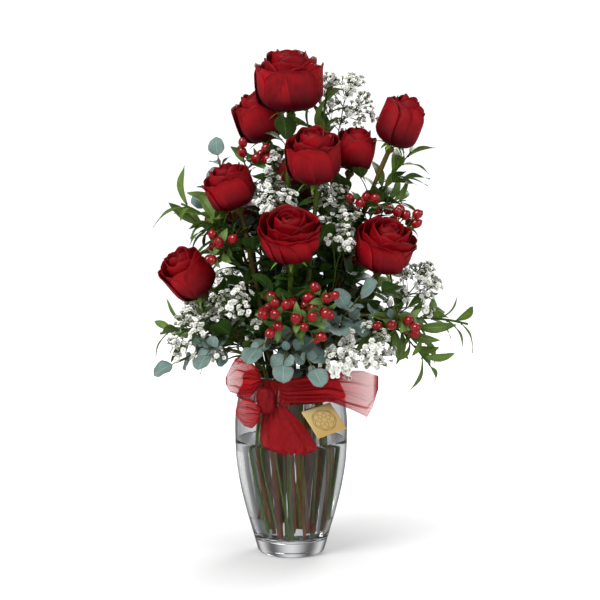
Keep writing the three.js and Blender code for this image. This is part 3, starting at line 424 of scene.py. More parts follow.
def leafSkin(name, dark, light, rib, roughness, veinCount, wax=0.0, edge=None, side=0.9):
    # a leaf's own cuticle: mottled green with a pale midrib and side veins pressed in, and a waxy bloom on some
    material, tree = newMaterial(name)
    place = addNode(tree, "TexCoord", output="Object")
    shade = addNode(tree, "Attribute", output="Fac", attribute_name="shade")
    sheet = addNode(tree, "UVMap", uv_map="place")
    across = addNode(tree, "SeparateXYZ", {0: sheet}, 0)
    along = addNode(tree, "SeparateXYZ", {0: sheet}, 1)
    away = addNode(tree, "Math", {0: across}, operation="ABSOLUTE")
    slant = addNode(tree, "Math", {0: away, 1: side * 0.35}, operation="MULTIPLY")
    slanted = addNode(tree, "Math", {0: along, 1: slant}, operation="SUBTRACT")
    turn = addNode(tree, "Math", {0: slanted, 1: veinCount * 2 * math.pi}, operation="MULTIPLY")
    waves = addNode(tree, "Math", {0: turn}, operation="SINE")
    lifted = addNode(tree, "Math", {0: waves, 1: 0.5, 2: 0.5}, operation="MULTIPLY_ADD")
    veins = addNode(tree, "Math", {0: lifted, 1: 6.0}, operation="POWER")
    mottle = addNode(tree, "TexNoise", {"Vector": place, "Scale": 1 / (7 * mm), "Detail": 4.0}, "Fac")
    tone = addNode(tree, "Mix", {0: mottle, 6: colour(dark), 7: colour(light)}, 2, data_type="RGBA")
    shadeShare = addNode(tree, "Math", {0: shade, 1: 0.45}, operation="MULTIPLY")
    tone = addNode(tree, "Mix", {0: shadeShare, 6: tone, 7: colour(light)}, 2, data_type="RGBA")
    veinShare = addNode(tree, "Math", {0: veins, 1: 0.22}, operation="MULTIPLY")
    tone = addNode(tree, "Mix", {0: veinShare, 6: tone, 7: colour(rib)}, 2, data_type="RGBA")
    if edge:
        nearEdge = addNode(tree, "Math", {0: away, 1: 10.0}, operation="POWER")
        edgeShare = addNode(tree, "Math", {0: nearEdge, 1: 0.7}, operation="MULTIPLY")
        tone = addNode(tree, "Mix", {0: edgeShare, 6: tone, 7: colour(edge)}, 2, data_type="RGBA")
    fromRib = addNode(tree, "Math", {0: away, 1: 14.0}, operation="MULTIPLY")
    fromRib = addNode(tree, "Math", {0: fromRib, 1: 1.0}, operation="MINIMUM")
    onRib = addNode(tree, "Math", {0: 1.0, 1: fromRib}, operation="SUBTRACT")
    ribShare = addNode(tree, "Math", {0: onRib, 1: 0.65}, operation="MULTIPLY")
    tone = addNode(tree, "Mix", {0: ribShare, 6: tone, 7: colour(rib)}, 2, data_type="RGBA")
    grain = addNode(tree, "TexNoise", {"Vector": place, "Scale": 1 / (1.2 * mm), "Detail": 2.0}, "Fac")
    pressed = addNode(tree, "Math", {0: veins, 1: 0.8}, operation="MULTIPLY")
    height = addNode(tree, "Math", {0: grain, 1: pressed}, operation="SUBTRACT")
    relief = addNode(tree, "Bump", {"Height": height, "Strength": 0.6, "Distance": 0.2 * mm})
    shader = addNode(tree, "BsdfPrincipled", {
        "Base Color": tone, "Normal": relief, "Roughness": roughness, "Specular IOR Level": 0.3,
        "Sheen Weight": wax, "Sheen Roughness": 0.5,
    })
    addNode(tree, "OutputMaterial", {"Surface": shader})
    return material


def berrySkin():
    # hypericum capsule, grown with a tight glossy skin: a sharp highlight on even scarlet that darkens at the tip
    material, tree = newMaterial("hypericum berry, tight glossy skin")
    place = addNode(tree, "TexCoord", output="Object")
    along = addNode(tree, "SeparateXYZ", {0: addNode(tree, "UVMap", uv_map="place")}, 1)
    fromFoot = [(0.0, "74120a"), (0.3, "8a0610"), (0.85, "70040e"), (1.0, "2c0604")]
    tone = addNode(tree, "ValToRGB", {0: along}, stops=fromFoot)
    mottle = addNode(tree, "TexNoise", {"Vector": place, "Scale": 1 / (4 * mm), "Detail": 3.0}, "Fac")
    mottleShare = addNode(tree, "Math", {0: mottle, 1: 0.5}, operation="MULTIPLY")
    tone = addNode(tree, "Mix", {0: mottleShare, 6: tone, 7: colour("9c0c18")}, 2, data_type="RGBA")
    grain = addNode(tree, "TexNoise", {"Vector": place, "Scale": 1 / (1.5 * mm), "Detail": 3.0}, "Fac")
    dimples = addNode(tree, "Bump", {"Height": grain, "Strength": 0.3, "Distance": 0.1 * mm})
    shader = addNode(tree, "BsdfPrincipled", {
        "Base Color": tone, "Normal": dimples, "Roughness": 0.24, "Specular IOR Level": 0.5,
        "Coat Weight": 0.5, "Coat Roughness": 0.1,
    })
    addNode(tree, "OutputMaterial", {"Surface": shader})
    return material


def floretSkin():
    # baby's breath floret, grown as thin papery petals: dull white, creamier and greener at the heart
    material, tree = newMaterial("gypsophila floret, papery petals")
    place = addNode(tree, "TexCoord", output="Object")
    shade = addNode(tree, "Attribute", output="Fac", attribute_name="shade")
    along = addNode(tree, "SeparateXYZ", {0: addNode(tree, "UVMap", uv_map="place")}, 1)
    tone = addNode(tree, "ValToRGB", {0: along}, stops=[(0.0, "98a070"), (0.35, "d6d6cc"), (1.0, "ecece8")])
    shadeShare = addNode(tree, "Math", {0: shade, 1: 0.25}, operation="MULTIPLY")
    tone = addNode(tree, "Mix", {0: shadeShare, 6: tone, 7: colour("d9dcd0")}, 2, data_type="RGBA")
    grain = addNode(tree, "TexNoise", {"Vector": place, "Scale": 1 / (0.6 * mm), "Detail": 3.0}, "Fac")
    crinkle = addNode(tree, "Bump", {"Height": grain, "Strength": 0.4, "Distance": 0.2 * mm})
    shader = addNode(tree, "BsdfPrincipled", {
        "Base Color": tone, "Normal": crinkle, "Roughness": 0.75, "Specular IOR Level": 0.3,
    })
    addNode(tree, "OutputMaterial", {"Surface": shader})
    return material


def blownGlass():
    # clear soda-lime glass, machine blown and fire polished: hard highlights, grey only where it is thick
    material, tree = newMaterial("soda-lime glass, blown and fire polished")
    place = addNode(tree, "TexCoord", output="Object")
    waver = addNode(tree, "TexNoise", {"Vector": place, "Scale": 1 / (60 * mm), "Detail": 1.0}, "Fac")
    shader = addNode(tree, "BsdfPrincipled", {
        "Base Color": colour("f7f8fa"), "Roughness": 0.0, "IOR": 1.5, "Transmission Weight": 1.0,
        "Normal": addNode(tree, "Bump", {"Height": waver, "Strength": 0.25, "Distance": 0.4 * mm}),
    })
    addNode(tree, "OutputMaterial", {"Surface": shader})
    return material


def stillWater():
    # tap water that has settled: clear, and bends light less than glass, so the stems look broken at its surface
    material, tree = newMaterial("still tap water")
    place = addNode(tree, "TexCoord", output="Object")
    ripple = addNode(tree, "TexNoise", {"Vector": place, "Scale": 1 / (30 * mm), "Detail": 1.0}, "Fac")
    shader = addNode(tree, "BsdfPrincipled", {
        "Base Color": colour("fafaf8"), "Roughness": 0.0, "IOR": 1.33, "Transmission Weight": 1.0,
        "Normal": addNode(tree, "Bump", {"Height": ripple, "Strength": 0.2, "Distance": 0.2 * mm}),
    })
    addNode(tree, "OutputMaterial", {"Surface": shader})
    return material


def netCloth():
    # nylon tulle, knitted as a hexagon net and dyed red: one layer is a pink haze, and gathers go solid dark red; the
    # same density value also carries painted shade along the folds and over the fall
    # threads drawn 1.9 mm apart where the real net has about 1.2 mm, so that the net shows
    material, tree = newMaterial("nylon tulle, dyed net")
    place = addNode(tree, "TexCoord", output="Object")
    dense = addNode(tree, "Attribute", output="Fac", attribute_name="shade")
    sheet = addNode(tree, "UVMap", uv_map="place")
    spacing = 1.9 * mm
    lines = None
    for turn in (0, 60, 120):
        turned = addNode(tree, "Mapping", {
            "Vector": sheet, "Rotation": (0, 0, math.radians(turn)), "Scale": (1 / spacing,) * 3,
        })
        step = addNode(tree, "Math", {0: addNode(tree, "SeparateXYZ", {0: turned})}, operation="FRACT")
        centred = addNode(tree, "Math", {0: step, 1: 0.5}, operation="SUBTRACT")
        gapShare = addNode(tree, "Math", {0: centred}, operation="ABSOLUTE")
        thread = addNode(tree, "Math", {0: gapShare, 1: 0.43}, operation="GREATER_THAN")
        lines = addNode(tree, "Math", {0: lines, 1: thread}, operation="MAXIMUM") if lines else thread
    cover = addNode(tree, "Math", {0: lines, 1: 0.5, 2: 0.2}, operation="MULTIPLY_ADD")
    cover = addNode(tree, "Math", {0: cover, 1: dense}, operation="ADD")
    cover = addNode(tree, "Math", {0: cover, 1: 1.0}, operation="MINIMUM")
    byLayersAndPaintedShade = [(0.0, "b01424"), (0.3, "a20a14"), (0.6, "76040b"), (1.0, "500206")]
    tone = addNode(tree, "ValToRGB", {0: dense}, stops=byLayersAndPaintedShade)
    mottle = addNode(tree, "TexNoise", {"Vector": place, "Scale": 1 / (5 * mm), "Detail": 3.0}, "Fac")
    mottleShare = addNode(tree, "Math", {0: mottle, 1: 0.35}, operation="MULTIPLY")
    tone = addNode(tree, "Mix", {0: mottleShare, 6: tone, 7: colour("bc1420")}, 2, data_type="RGBA")
    threads = addNode(tree, "Bump", {"Height": lines, "Strength": 0.4, "Distance": 0.15 * mm})
    shader = addNode(tree, "BsdfPrincipled", {
        "Base Color": tone, "Alpha": cover, "Normal": threads, "Roughness": 0.5, "Specular IOR Level": 0.12,
        "Sheen Weight": 0.04, "Sheen Roughness": 0.4, "Sheen Tint": colour("ff8090"),
    })
    addNode(tree, "OutputMaterial", {"Surface": shader})
    return material


def goldCard():
    # card, coated with gold foil: a soft metallic sheen under a line ornament printed in brown, and painted light
    # that makes the foil lighter towards the bottom
    material, tree = newMaterial("gold card, foil-coated board")
    place = addNode(tree, "TexCoord", output="Object")
    sheet = addNode(tree, "UVMap", uv_map="place")
    along = addNode(tree, "SeparateXYZ", {0: sheet}, 1)
    x = addNode(tree, "Math", {0: addNode(tree, "SeparateXYZ", {0: sheet}, 0), 1: 0.5}, operation="SUBTRACT")
    y = addNode(tree, "Math", {0: along, 1: 0.5}, operation="SUBTRACT")
    away = addNode(tree, "VectorMath", {0: addNode(tree, "CombineXYZ", {0: x, 1: y})}, "Value", operation="LENGTH")
    turn = addNode(tree, "Math", {0: y, 1: x}, operation="ARCTAN2")
    spokes = addNode(tree, "Math", {0: turn, 1: 7.0}, operation="MULTIPLY")
    waves = addNode(tree, "Math", {0: spokes}, operation="SINE")
    petals = addNode(tree, "Math", {0: waves, 1: 0.025}, operation="MULTIPLY")
    ink = None
    for radius, wave in ((0.36, 0.3), (0.31, 1.0), (0.2, -1.6), (0.1, 1.0)):
        waved = addNode(tree, "Math", {0: petals, 1: wave, 2: radius}, operation="MULTIPLY_ADD")
        line = addNode(tree, "Math", {0: away, 1: waved, 2: 0.011}, operation="COMPARE")
        ink = addNode(tree, "Math", {0: ink, 1: line}, operation="MAXIMUM") if ink else line
    foil = addNode(tree, "TexNoise", {"Vector": place, "Scale": 1 / (3 * mm), "Detail": 3.0}, "Fac")
    foilShare = addNode(tree, "Math", {0: foil, 1: 0.3}, operation="MULTIPLY")
    # painted light: the foil is painted lighter at the card's foot and darker at its top
    gold = addNode(tree, "Mix", {0: along, 6: colour("dfca8c"), 7: colour("b39153")}, 2, data_type="RGBA")
    gold = addNode(tree, "Mix", {0: foilShare, 6: gold, 7: colour("c9ac6a")}, 2, data_type="RGBA")
    inkShare = addNode(tree, "Math", {0: ink, 1: 0.75}, operation="MULTIPLY")
    tone = addNode(tree, "Mix", {0: inkShare, 6: gold, 7: colour("6f4a1e")}, 2, data_type="RGBA")
    grain = addNode(tree, "TexNoise", {"Vector": place, "Scale": 1 / (0.7 * mm), "Detail": 3.0}, "Fac")
    shader = addNode(tree, "BsdfPrincipled", {
        "Base Color": tone, "Metallic": 0.25, "Roughness": 0.42,
        "Normal": addNode(tree, "Bump", {"Height": grain, "Strength": 0.3, "Distance": 0.05 * mm}),
    })
    addNode(tree, "OutputMaterial", {"Surface": shader})
    return material


# turns, levels: faces round and up the glass; meniscus: how far the water climbs; intoGlass: how far it overlaps
vaseLook = {"turns": 96, "levels": 70, "meniscus": 0.6 * mm, "intoGlass": 0.12 * mm}


def profileOf(node):
    # radius at each level of a turned solid, outside and inside
    points = solidPoints(node)
    ends = np.array([e.vertices[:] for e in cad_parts[node].data.edges])
    a, b = points[ends[:, 0]], points[ends[:, 1]]
    levels = {}
    for x, y, z in points:
        levels.setdefault(round(float(z) / mm, 2), []).append(math.hypot(x, y))
    outside = []
    for level, radii in sorted(levels.items()):
        z = level * mm
        crossing = (a[:, 2] - z) * (b[:, 2] - z) < 0  # the outer wall may have no corners at this level
        share = ((z - a[crossing, 2]) / (b[crossing, 2] - a[crossing, 2]))[:, None]
        cuts = a[crossing] + (b[crossing] - a[crossing]) * share
        outside.append((z, max(radii + np.hypot(cuts[:, 0], cuts[:, 1]).tolist())))
    inside = [(level * mm, min(radii)) for level, radii in sorted(levels.items()) if level > 1]
    return outside, inside


def radiusAt(profile, z):
    zs, rs = [p[0] for p in profile], [p[1] for p in profile]
    return float(np.interp(z, zs, rs))


def turned(skin, profile, turns):
    # a closed skin of revolution from a profile that starts and ends on the axis
    rows = []
    for radius, z in profile[1:-1]:
        angles = [2 * math.pi * j / turns for j in range(turns)]
        rows.append([Vector((math.cos(angle) * radius, math.sin(angle) * radius, z)) for angle in angles])
    places = [[(j / turns, i / len(rows)) for j in range(turns)] for i in range(len(rows))]
    first = addSheet(skin, rows, places, closed=True)
    addCap(skin, first, turns, up * profile[0][1], False)
    addCap(skin, first + (len(rows) - 1) * turns, turns, up * profile[-1][1], True)


def curved(profile, count):
    # a profile through the given points, rounded between them
    line = smoothLine([Vector((r, 0, z)) for r, z in profile], count)
    return [(max(p.x, 0.0), p.z) for p in line]


def buildVase():
    outside, inside = profileOf("vase")
    floorZ = min(z for z, r in inside if r < 1 * mm)
    foot = max(r for z, r in outside if z < 0.5 * mm)
    rim = outside[-1][0]
    outer = [(r, z) for z, r in outside if 2 * mm < z < rim - 1 * mm]
    inner = [(r, z) for z, r in inside if z > floorZ + 1 * mm and z < rim - 1 * mm]
    lip = [((outer[-1][0] + inner[-1][0]) / 2 + math.cos(a) * (outer[-1][0] - inner[-1][0]) / 2,
            rim - 1.5 * mm + math.sin(a) * 1.5 * mm) for a in [math.pi * k / 8 for k in range(1, 8)]]
    heel = [(foot - 1.5 * mm, 0.0), (foot + 0.6 * mm, 0.25 * mm), (foot + 2.2 * mm, 1.2 * mm)]
    bowl = [(inner[0][0] * 0.55, floorZ - 0.2 * mm), (inner[0][0] * 0.86, floorZ + 1.0 * mm)]
    profile = [(0.0, 0.9 * mm), (foot * 0.5, 0.9 * mm), (foot - 5 * mm, 0.7 * mm)] + heel
    profile += curved([heel[-1]] + outer, vaseLook["levels"])[1:]
    profile += lip
    profile += curved(inner[::-1] + bowl[::-1], vaseLook["levels"])
    profile += [(0.0, floorZ - 0.4 * mm)]
    skin = newSkin()
    turned(skin, profile, vaseLook["turns"])
    makePiece("blown_vase", skin, [blownGlass()], ["vase"])
    level = float(solidPoints("water")[:, 2].max())
    wall = [(r + vaseLook["intoGlass"], z) for r, z in curved(inner, 40) if z < level - 0.5 * mm]
    atLevel = radiusAt([(z, r) for r, z in inner], level)
    water = [(0.0, floorZ - 0.5 * mm), (bowl[0][0], floorZ - 0.3 * mm), (bowl[1][0], floorZ + 0.9 * mm)] + wall
    flat = level - 0.2 * mm
    water += [(atLevel + vaseLook["intoGlass"], level + vaseLook["meniscus"]),
              (atLevel - 0.8 * mm, level + 0.1 * mm), (atLevel - 2.5 * mm, flat), (atLevel * 0.5, flat), (0.0, flat)]
    skin = newSkin()
    turned(skin, water, vaseLook["turns"])
    makePiece("still_water", skin, [stillWater()], ["water"])


print("vase and water")
buildVase()


# open: 0 a bud, 1 a full rosette; petals: how many; spin: degrees round the axis; flare: how far the outer rims roll
# out; lift: how far the bloom turns up from its solid's axis; wide: its width to its solid's
roseLooks = {
    "rose_1": {"open": 0.5, "petals": 30, "spin": 20, "flare": 0.9, "lift": 0, "wide": 1},
    "rose_2": {"open": 0.25, "petals": 24, "spin": 130, "flare": 0.5, "lift": 0, "wide": 1},
    "rose_3": {"open": 0.15, "petals": 22, "spin": 200, "flare": 0.6, "lift": 0, "wide": 1},
    "rose_4": {"open": 0.4, "petals": 28, "spin": 290, "flare": 0.7, "lift": 0.1, "wide": 0.95},
    "rose_5": {"open": 0.25, "petals": 22, "spin": 60, "flare": 0.5, "lift": 0, "wide": 1},
    "rose_6": {"open": 0.5, "petals": 26, "spin": 340, "flare": 0.8, "lift": 0.1, "wide": 0.95},
    "rose_7": {"open": 1.0, "petals": 40, "spin": 95, "flare": 1.0, "lift": 0.3, "wide": 0.86},
    "rose_8": {"open": 0.75, "petals": 34, "spin": 160, "flare": 1.0, "lift": 0.15, "wide": 0.92},
    "rose_9": {"open": 0.4, "petals": 26, "spin": 250, "flare": 0.7, "lift": 0, "wide": 1},
    "rose_10": {"open": 0.5, "petals": 28, "spin": 15, "flare": 0.8, "lift": 0, "wide": 1},
    "rose_11": {"open": 0.8, "petals": 34, "spin": 75, "flare": 0.9, "lift": 0, "wide": 1},
    "rose_12": {"open": 0.4, "petals": 26, "spin": 310, "flare": 0.7, "lift": 0, "wide": 1},
}
# across, along: faces of one petal; free: share of the bloom's radius within which nothing is held back
petalLook = {"across": 12, "along": 12, "thickness": 0.45 * mm, "free": 0.84}


def bloomFrame(name):
    # foot, axis, height and radius of a bloom, from its solid and the top of its stem
    bloom, stem = solidPoints(name + "_bloom"), solidPoints(name + "_stem")
    middle = (bloom.min(axis=0) + bloom.max(axis=0)) / 2
    top = stem[stem[:, 2] > stem[:, 2].max() - 60 * mm]
    gaps = np.linalg.norm(bloom[:, None] - top[None], axis=2).min(axis=1)
    foot = bloom[np.linalg.norm(bloom - bloom[gaps.argmin()], axis=1) < 7 * mm].mean(axis=0)
    axis = Vector(middle - foot).normalized().lerp(up, roseLooks[name]["lift"]).normalized()
    foot = Vector(foot)
    heights = (bloom - np.array(foot)) @ np.array(axis)
    away = np.linalg.norm(bloom - np.array(foot) - np.outer(heights, np.array(axis)), axis=1)
    return foot, axis, float(heights.max()), float(away.max()) * roseLooks[name]["wide"]


def petalRows(look, share, turn, radius, height, dice):
    # one petal in its bloom's own frame; share is 0 at the heart and 1 outside
    opened = look["open"]
    belly = radius * (0.13 + 0.8 * share ** 0.8)
    rim = belly * (0.4 + (0.35 + 0.75 * opened) * share + 0.1 * opened)
    tall = 0.9 + 0.1 * math.sin(math.pi * min(share * 1.3, 1)) - 0.2 * opened * share ** 2
    tall = height * (tall + dice.uniform(-0.03, 0.03) - 0.1 * opened * (1 - share) ** 3)
    if rim > radius:
        belly, rim = belly * radius / rim, radius
    halfWidth = radius * (0.42 + 0.42 * share)
    curl = look["flare"] * max(share - 0.3, 0) * radius * 0.3 * dice.uniform(0.6, 1.3)
    lean = dice.uniform(-0.05, 0.08) * share
    ripple, phase = dice.uniform(0.2, 1.0) * 1.6 * mm * share, dice.uniform(0, 6.28)
    rows, places = [], []
    for i in range(petalLook["along"] + 1):
        row, placeRow = [], []
        for j in range(petalLook["across"] + 1):
            u = 2 * j / petalLook["across"] - 1
            v = i / petalLook["along"]
            reach = v * (1 - 0.2 * abs(u) ** 2.4) + 0.02 * v * (1 - abs(u)) ** 2
            a, b, c, d = (1 - reach) ** 3, 3 * (1 - reach) ** 2 * reach, 3 * (1 - reach) * reach ** 2, reach ** 3
            r = a * radius * (0.05 + 0.08 * share) + b * belly * 1.3 + c * belly * 1.08 + d * rim
            z = b * height * 0.03 + c * tall * 0.62 + d * tall
            rolled = max(reach - 0.72, 0) / 0.28
            roll = curl * rolled ** 2 * (0.75 + 0.45 * abs(math.sin(math.pi * u)))
            r += roll
            z -= roll * rolled * 0.9
            width = halfWidth * math.sin(math.pi * (0.1 + 0.56 * v)) ** 0.8
            angle = turn + u * min(width / max(r, radius * 0.1), 2.5)
            r *= 1 + 0.2 * u * (1 - 0.6 * share)
            r += ripple * v * v * math.sin(phase + u * 4.5) + belly * lean * v
            r += radius * 0.07 * share * opened * abs(u) ** 3 * v
            z += ripple * 0.6 * v * v * math.cos(phase * 2 + u * 6)
            row.append(Vector((math.cos(angle) * r, math.sin(angle) * r, z)))
            placeRow.append((u, v))
        rows.append(row)
        places.append(placeRow)
    return rows, places


def keptWithin(point, radius):
    # the outer rims stay just inside the bloom's radius
    away = math.hypot(point.x, point.y)
    free = radius * petalLook["free"]
    if away > free:
        point *= Vector((1, 1, 0)) * ((free + (away - free) * 0.3) / away) + Vector((0, 0, 1))
    return point


def buildBloom(name, petal):
    look = roseLooks[name]
    foot, axis, height, radius = bloomFrame(name)
    dice = random.Random(name)
    turnTo = up.rotation_difference(axis).to_matrix()
    skin = newSkin()
    for i in range(look["petals"]):
        share = i / (look["petals"] - 1)
        turn = math.radians(look["spin"]) + i * goldenAngle + dice.uniform(-0.15, 0.15)
        rows, places = petalRows(look, share, turn, radius * 0.97, height * 0.98, dice)
        rows = [[foot + turnTo @ keptWithin(p, radius) for p in row] for row in rows]
        # the shade value is random per petal and lower on the inner petals, so these lean darker: painted shade deep
        # in the bloom
        addSheet(skin, rows, places, dice.uniform(0.1, 1.0) * (0.55 + 0.45 * share))
    makePiece("petals_" + name, skin, [petal], [name + "_bloom"], petalLook["thickness"])
    return foot, axis, height, radius


# joints: stem points from one leaf scar to the next; swelling: the stem's width at a scar to its own
stemLook = {
    "radius": 2.7 * mm, "points": 60, "sides": 10, "joints": 9, "swelling": 1.22,
    "hip": 5.2 * mm, "hipLength": 9 * mm, "sepal": 24 * mm, "sepalWidth": 5.5 * mm,
}


def addSepal(skin, foot, axis, out, length, width, droop, slot):
    # a narrow green leaf of the calyx: up along the bloom, then out and down
    rows, places = [], []
    side = axis.cross(out).normalized()
    for i in range(9):
        v = i / 8
        outward = stemLook["hip"] * 0.9 + length * (0.75 * v ** 1.3)
        middle = foot + out * outward + axis * (length * (0.35 * v - droop * v * v))
        half = width / 2 * math.sin(math.pi * min(0.18 + 0.82 * v, 1)) ** 0.7
        row = [middle + side * (half * u) + axis * (half * 0.35 * abs(u)) for u in (-1, -0.5, 0, 0.5, 1)]
        rows.append(row)
        places.append([(u, v) for u in (-1, -0.5, 0, 0.5, 1)])
    addSheet(skin, rows, places, 0.4, slot)


def buildRoseStem(name, bloom, bark, calyx, blade):
    foot, axis = bloom[:2]
    stem = name + "_stem"
    low = float(solidPoints(stem)[:, 2].min())
    count = stemLook["points"]
    hipFoot = foot - axis * (stemLook["hipLength"] + 1 * mm)
    line = stemLine(stem, low + 0.4 * mm, hipFoot.z - 16 * mm)
    dice = random.Random(stem)
    body = smoothLine(relaxed(line + [hipFoot - axis * 8 * mm], 8) + [hipFoot], count)
    radii = [stemLook["radius"] * (1 + 0.1 * math.sin(i * 0.9 + dice.uniform(0, 0.6))) for i in range(count)]
    for joint in range(6, count - 4, stemLook["joints"]):
        radii[joint] *= stemLook["swelling"]
    body += [hipFoot + axis * (stemLook["hipLength"] * k / 5) for k in range(1, 6)]
    radii += [stemLook["hip"] * w for w in (0.72, 0.98, 1.05, 0.92, 0.7)]
    skin = newSkin()
    addTube(skin, body, radii, stemLook["sides"], dice.uniform(0.2, 0.8))
    sideways = axis.orthogonal().normalized()
    for k in range(5):
        angle = k * 2 * math.pi / 5 + dice.uniform(-0.2, 0.2)
        out = (sideways * math.cos(angle) + axis.cross(sideways) * math.sin(angle)).normalized()
        length = stemLook["sepal"] * dice.uniform(0.8, 1.15)
        addSepal(skin, foot - axis * 1.5 * mm, axis, out, length, stemLook["sepalWidth"], dice.uniform(0.1, 0.9), 1)
    leaves = addRoseLeaves(skin, body[:count - 4], dice)
    print("  ", stem, leaves, "leaflets")
    makePiece("stalk_" + name, skin, [bark, calyx, blade], [stem])


blooms = []  # middle and radius of each rose head, which leaves and florets stay out of
for roseName in roseLooks:
    foot, axis, height, radius = bloomFrame(roseName)
    blooms.append((foot + axis * height * 0.55, max(radius, height * 0.55)))
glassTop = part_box("vase")[1].z


def isClear(point, room=0.0):
    if any((point - middle).length < radius + room for middle, radius in blooms):
        return False
    flatAway = math.hypot(point.x, point.y)
    return point.z > glassTop + 3 * mm or flatAway > 70 * mm


# outline: width at shares of the length; ratio: width to length; cup: how far the sides rise; droop: how the tip
# falls; petiole: its share of the length; twig, stem: radii; spacing: between leaves; extra: a leaf's length
leafLooks = {
    "eucalyptus": {"outline": [(0, 0.1), (0.1, 0.62), (0.3, 0.96), (0.55, 1.0), (0.8, 0.78), (0.93, 0.42), (1, 0.02)],
                   "ratio": 0.82, "cup": 0.1, "droop": 0.05, "petiole": 0.16, "twig": 0.8 * mm, "stem": 1.7 * mm,
                   "spacing": 9 * mm, "extra": 17 * mm},
    "ruscus": {"outline": [(0, 0.08), (0.15, 0.55), (0.35, 0.95), (0.5, 1.0), (0.7, 0.8), (0.88, 0.4), (1, 0.01)],
               "ratio": 0.27, "cup": 0.12, "droop": 0.12, "petiole": 0.04, "twig": 0.8 * mm, "stem": 1.7 * mm,
               "spacing": 6.5 * mm, "extra": 44 * mm},
    "salal": {"outline": [(0, 0.12), (0.1, 0.6), (0.3, 0.98), (0.5, 1.0), (0.72, 0.8), (0.9, 0.4), (1, 0.02)],
              "ratio": 0.56, "cup": 0.14, "droop": 0.14, "petiole": 0.06, "twig": 1.0 * mm, "stem": 1.7 * mm,
              "spacing": 10 * mm, "extra": 42 * mm},
    "rose": {"outline": [(0, 0.2), (0.15, 0.72), (0.35, 1.0), (0.55, 0.96), (0.75, 0.68), (0.9, 0.3), (1, 0.02)],
             "ratio": 0.6, "cup": 0.1, "droop": 0.1, "petiole": 0.08, "twig": 0.9 * mm, "stem": 1.2 * mm,
             "spacing": 9 * mm, "extra": 42 * mm},
    "hypericum": {"outline": [(0, 0.15), (0.2, 0.75), (0.45, 1.0), (0.75, 0.7), (1, 0.03)],
                  "ratio": 0.42, "cup": 0.12, "droop": 0.1, "petiole": 0.03, "twig": 0.8 * mm, "stem": 1.6 * mm,
                  "spacing": 30 * mm, "extra": 24 * mm},
}


leafShares = (-1, -0.66, -0.33, 0, 0.33, 0.66, 1)  # across a blade, edge to edge


def addLeaf(skin, base, tip, flat, look, width, shade, slot=0):
    # a blade cupped along its midrib, its tip falling a little, on a short petiole
    line = tip - base
    length = line.length
    forward = line.normalized()
    flat = (flat - forward * flat.dot(forward)).normalized()
    side = forward.cross(flat)
    shares, widths = zip(*look["outline"])
    start = look["petiole"]
    rows, places = [], []
    for i in range(11):
        v = i / 10
        half = width / 2 * float(np.interp(v, shares, widths))
        bend = look["droop"] * length * math.sin(math.pi * v)
        middle = base + forward * (length * (start + (1 - start) * v)) + flat * bend
        wave = 0.04 * width * math.sin(v * 9 + shade * 20)
        cup = look["cup"] * width * math.sin(math.pi * min(v + 0.1, 1))
        rows.append([middle + side * (half * u) + flat * (cup * abs(u) ** 1.6 + wave * u) for u in leafShares])
        places.append([(u, v) for u in leafShares])
    addSheet(skin, rows, places, shade, slot)


def addPetiole(skin, start, end, radius, slot):
    bowed = start.lerp(end, 0.5) + up * (start - end).length * 0.08
    addTube(skin, [start, bowed, end], [radius, radius * 0.85, radius * 0.7], 5, 0.5, slot)


def addRoseLeaves(skin, body, dice):
    # leaves of up to three leaflets on a red-brown stalk, in turn round the stem above the rim
    look = leafLooks["rose"]
    turn = dice.uniform(0, 6.28)
    following, run, made = 0.0, 0.0, 0
    for a, b, (direction, side, other) in zip(body, body[1:], frames(body)):
        run += (b - a).length
        if a.z < glassTop + 14 * mm or run < following:
            continue
        following = run + look["spacing"] * dice.uniform(0.8, 1.2)
        turn += goldenAngle
        out = side * math.cos(turn) + other * math.sin(turn)
        aim = (out + direction * dice.uniform(0.4, 0.9)).normalized()
        stalk = look["extra"] * dice.uniform(0.5, 0.75)
        fork = a + aim * stalk
        across = aim.cross(direction).normalized()
        flat = (direction + out * 0.3).normalized()
        grown = 0
        for start, way, size in ((fork, aim, 1.0), (fork - aim * 7 * mm, (across + aim * 0.7).normalized(), 0.8),
                                 (fork - aim * 7 * mm, (aim * 0.7 - across).normalized(), 0.8)):
            length = look["extra"] * size * dice.uniform(0.8, 1.05)
            tip = start + way * length
            if not all(isClear(start.lerp(tip, v), 3 * mm) for v in (0.2, 0.6, 1.0)):
                continue
            if any(tip[i] < cadLow[i] + 4 * mm or tip[i] > cadHigh[i] - 4 * mm for i in range(3)):
                continue
            addLeaf(skin, start, tip, flat, look, length * look["ratio"], dice.random(), 2)
            addPetiole(skin, start, start + way * length * 0.12, 0.5 * mm, 0)
            grown += 1
        if grown:
            addPetiole(skin, a, fork, look["twig"] * 0.8, 0)
            made += grown
    return made


print("roses")
petalMaterial = velvetPetal()
roseBarks = [stemSkin("rose stem, smooth green bark", "48660a", "a8bc28"),
             stemSkin("rose stem, browned green bark", "74340a", "b08a1c"),
             stemSkin("rose stem, reddish bark", "7c2c0a", "c4721c")]
calyxMaterial = leafSkin("rose calyx, soft green", "3f6a22", "78a03c", "96b060", 0.55, 5)
roseBlade = leafSkin("rose leaf, semi-glossy", "14230a", "33501c", "5c7838", 0.4, 7)
for place, roseName in enumerate(roseLooks):
    bloom = buildBloom(roseName, petalMaterial)
    buildRoseStem(roseName, bloom, roseBarks[place % 3], calyxMaterial, roseBlade)


def leafyLines(node):
    # every stem line of a sprig, with its leaves as the solid has them
    made = shoots(node)
    low = float(solidPoints(node)[:, 2].min())
    made[0]["stem"] = stemLine(node, low + 0.4 * mm, 0.19) + made[0]["stem"]
    return made


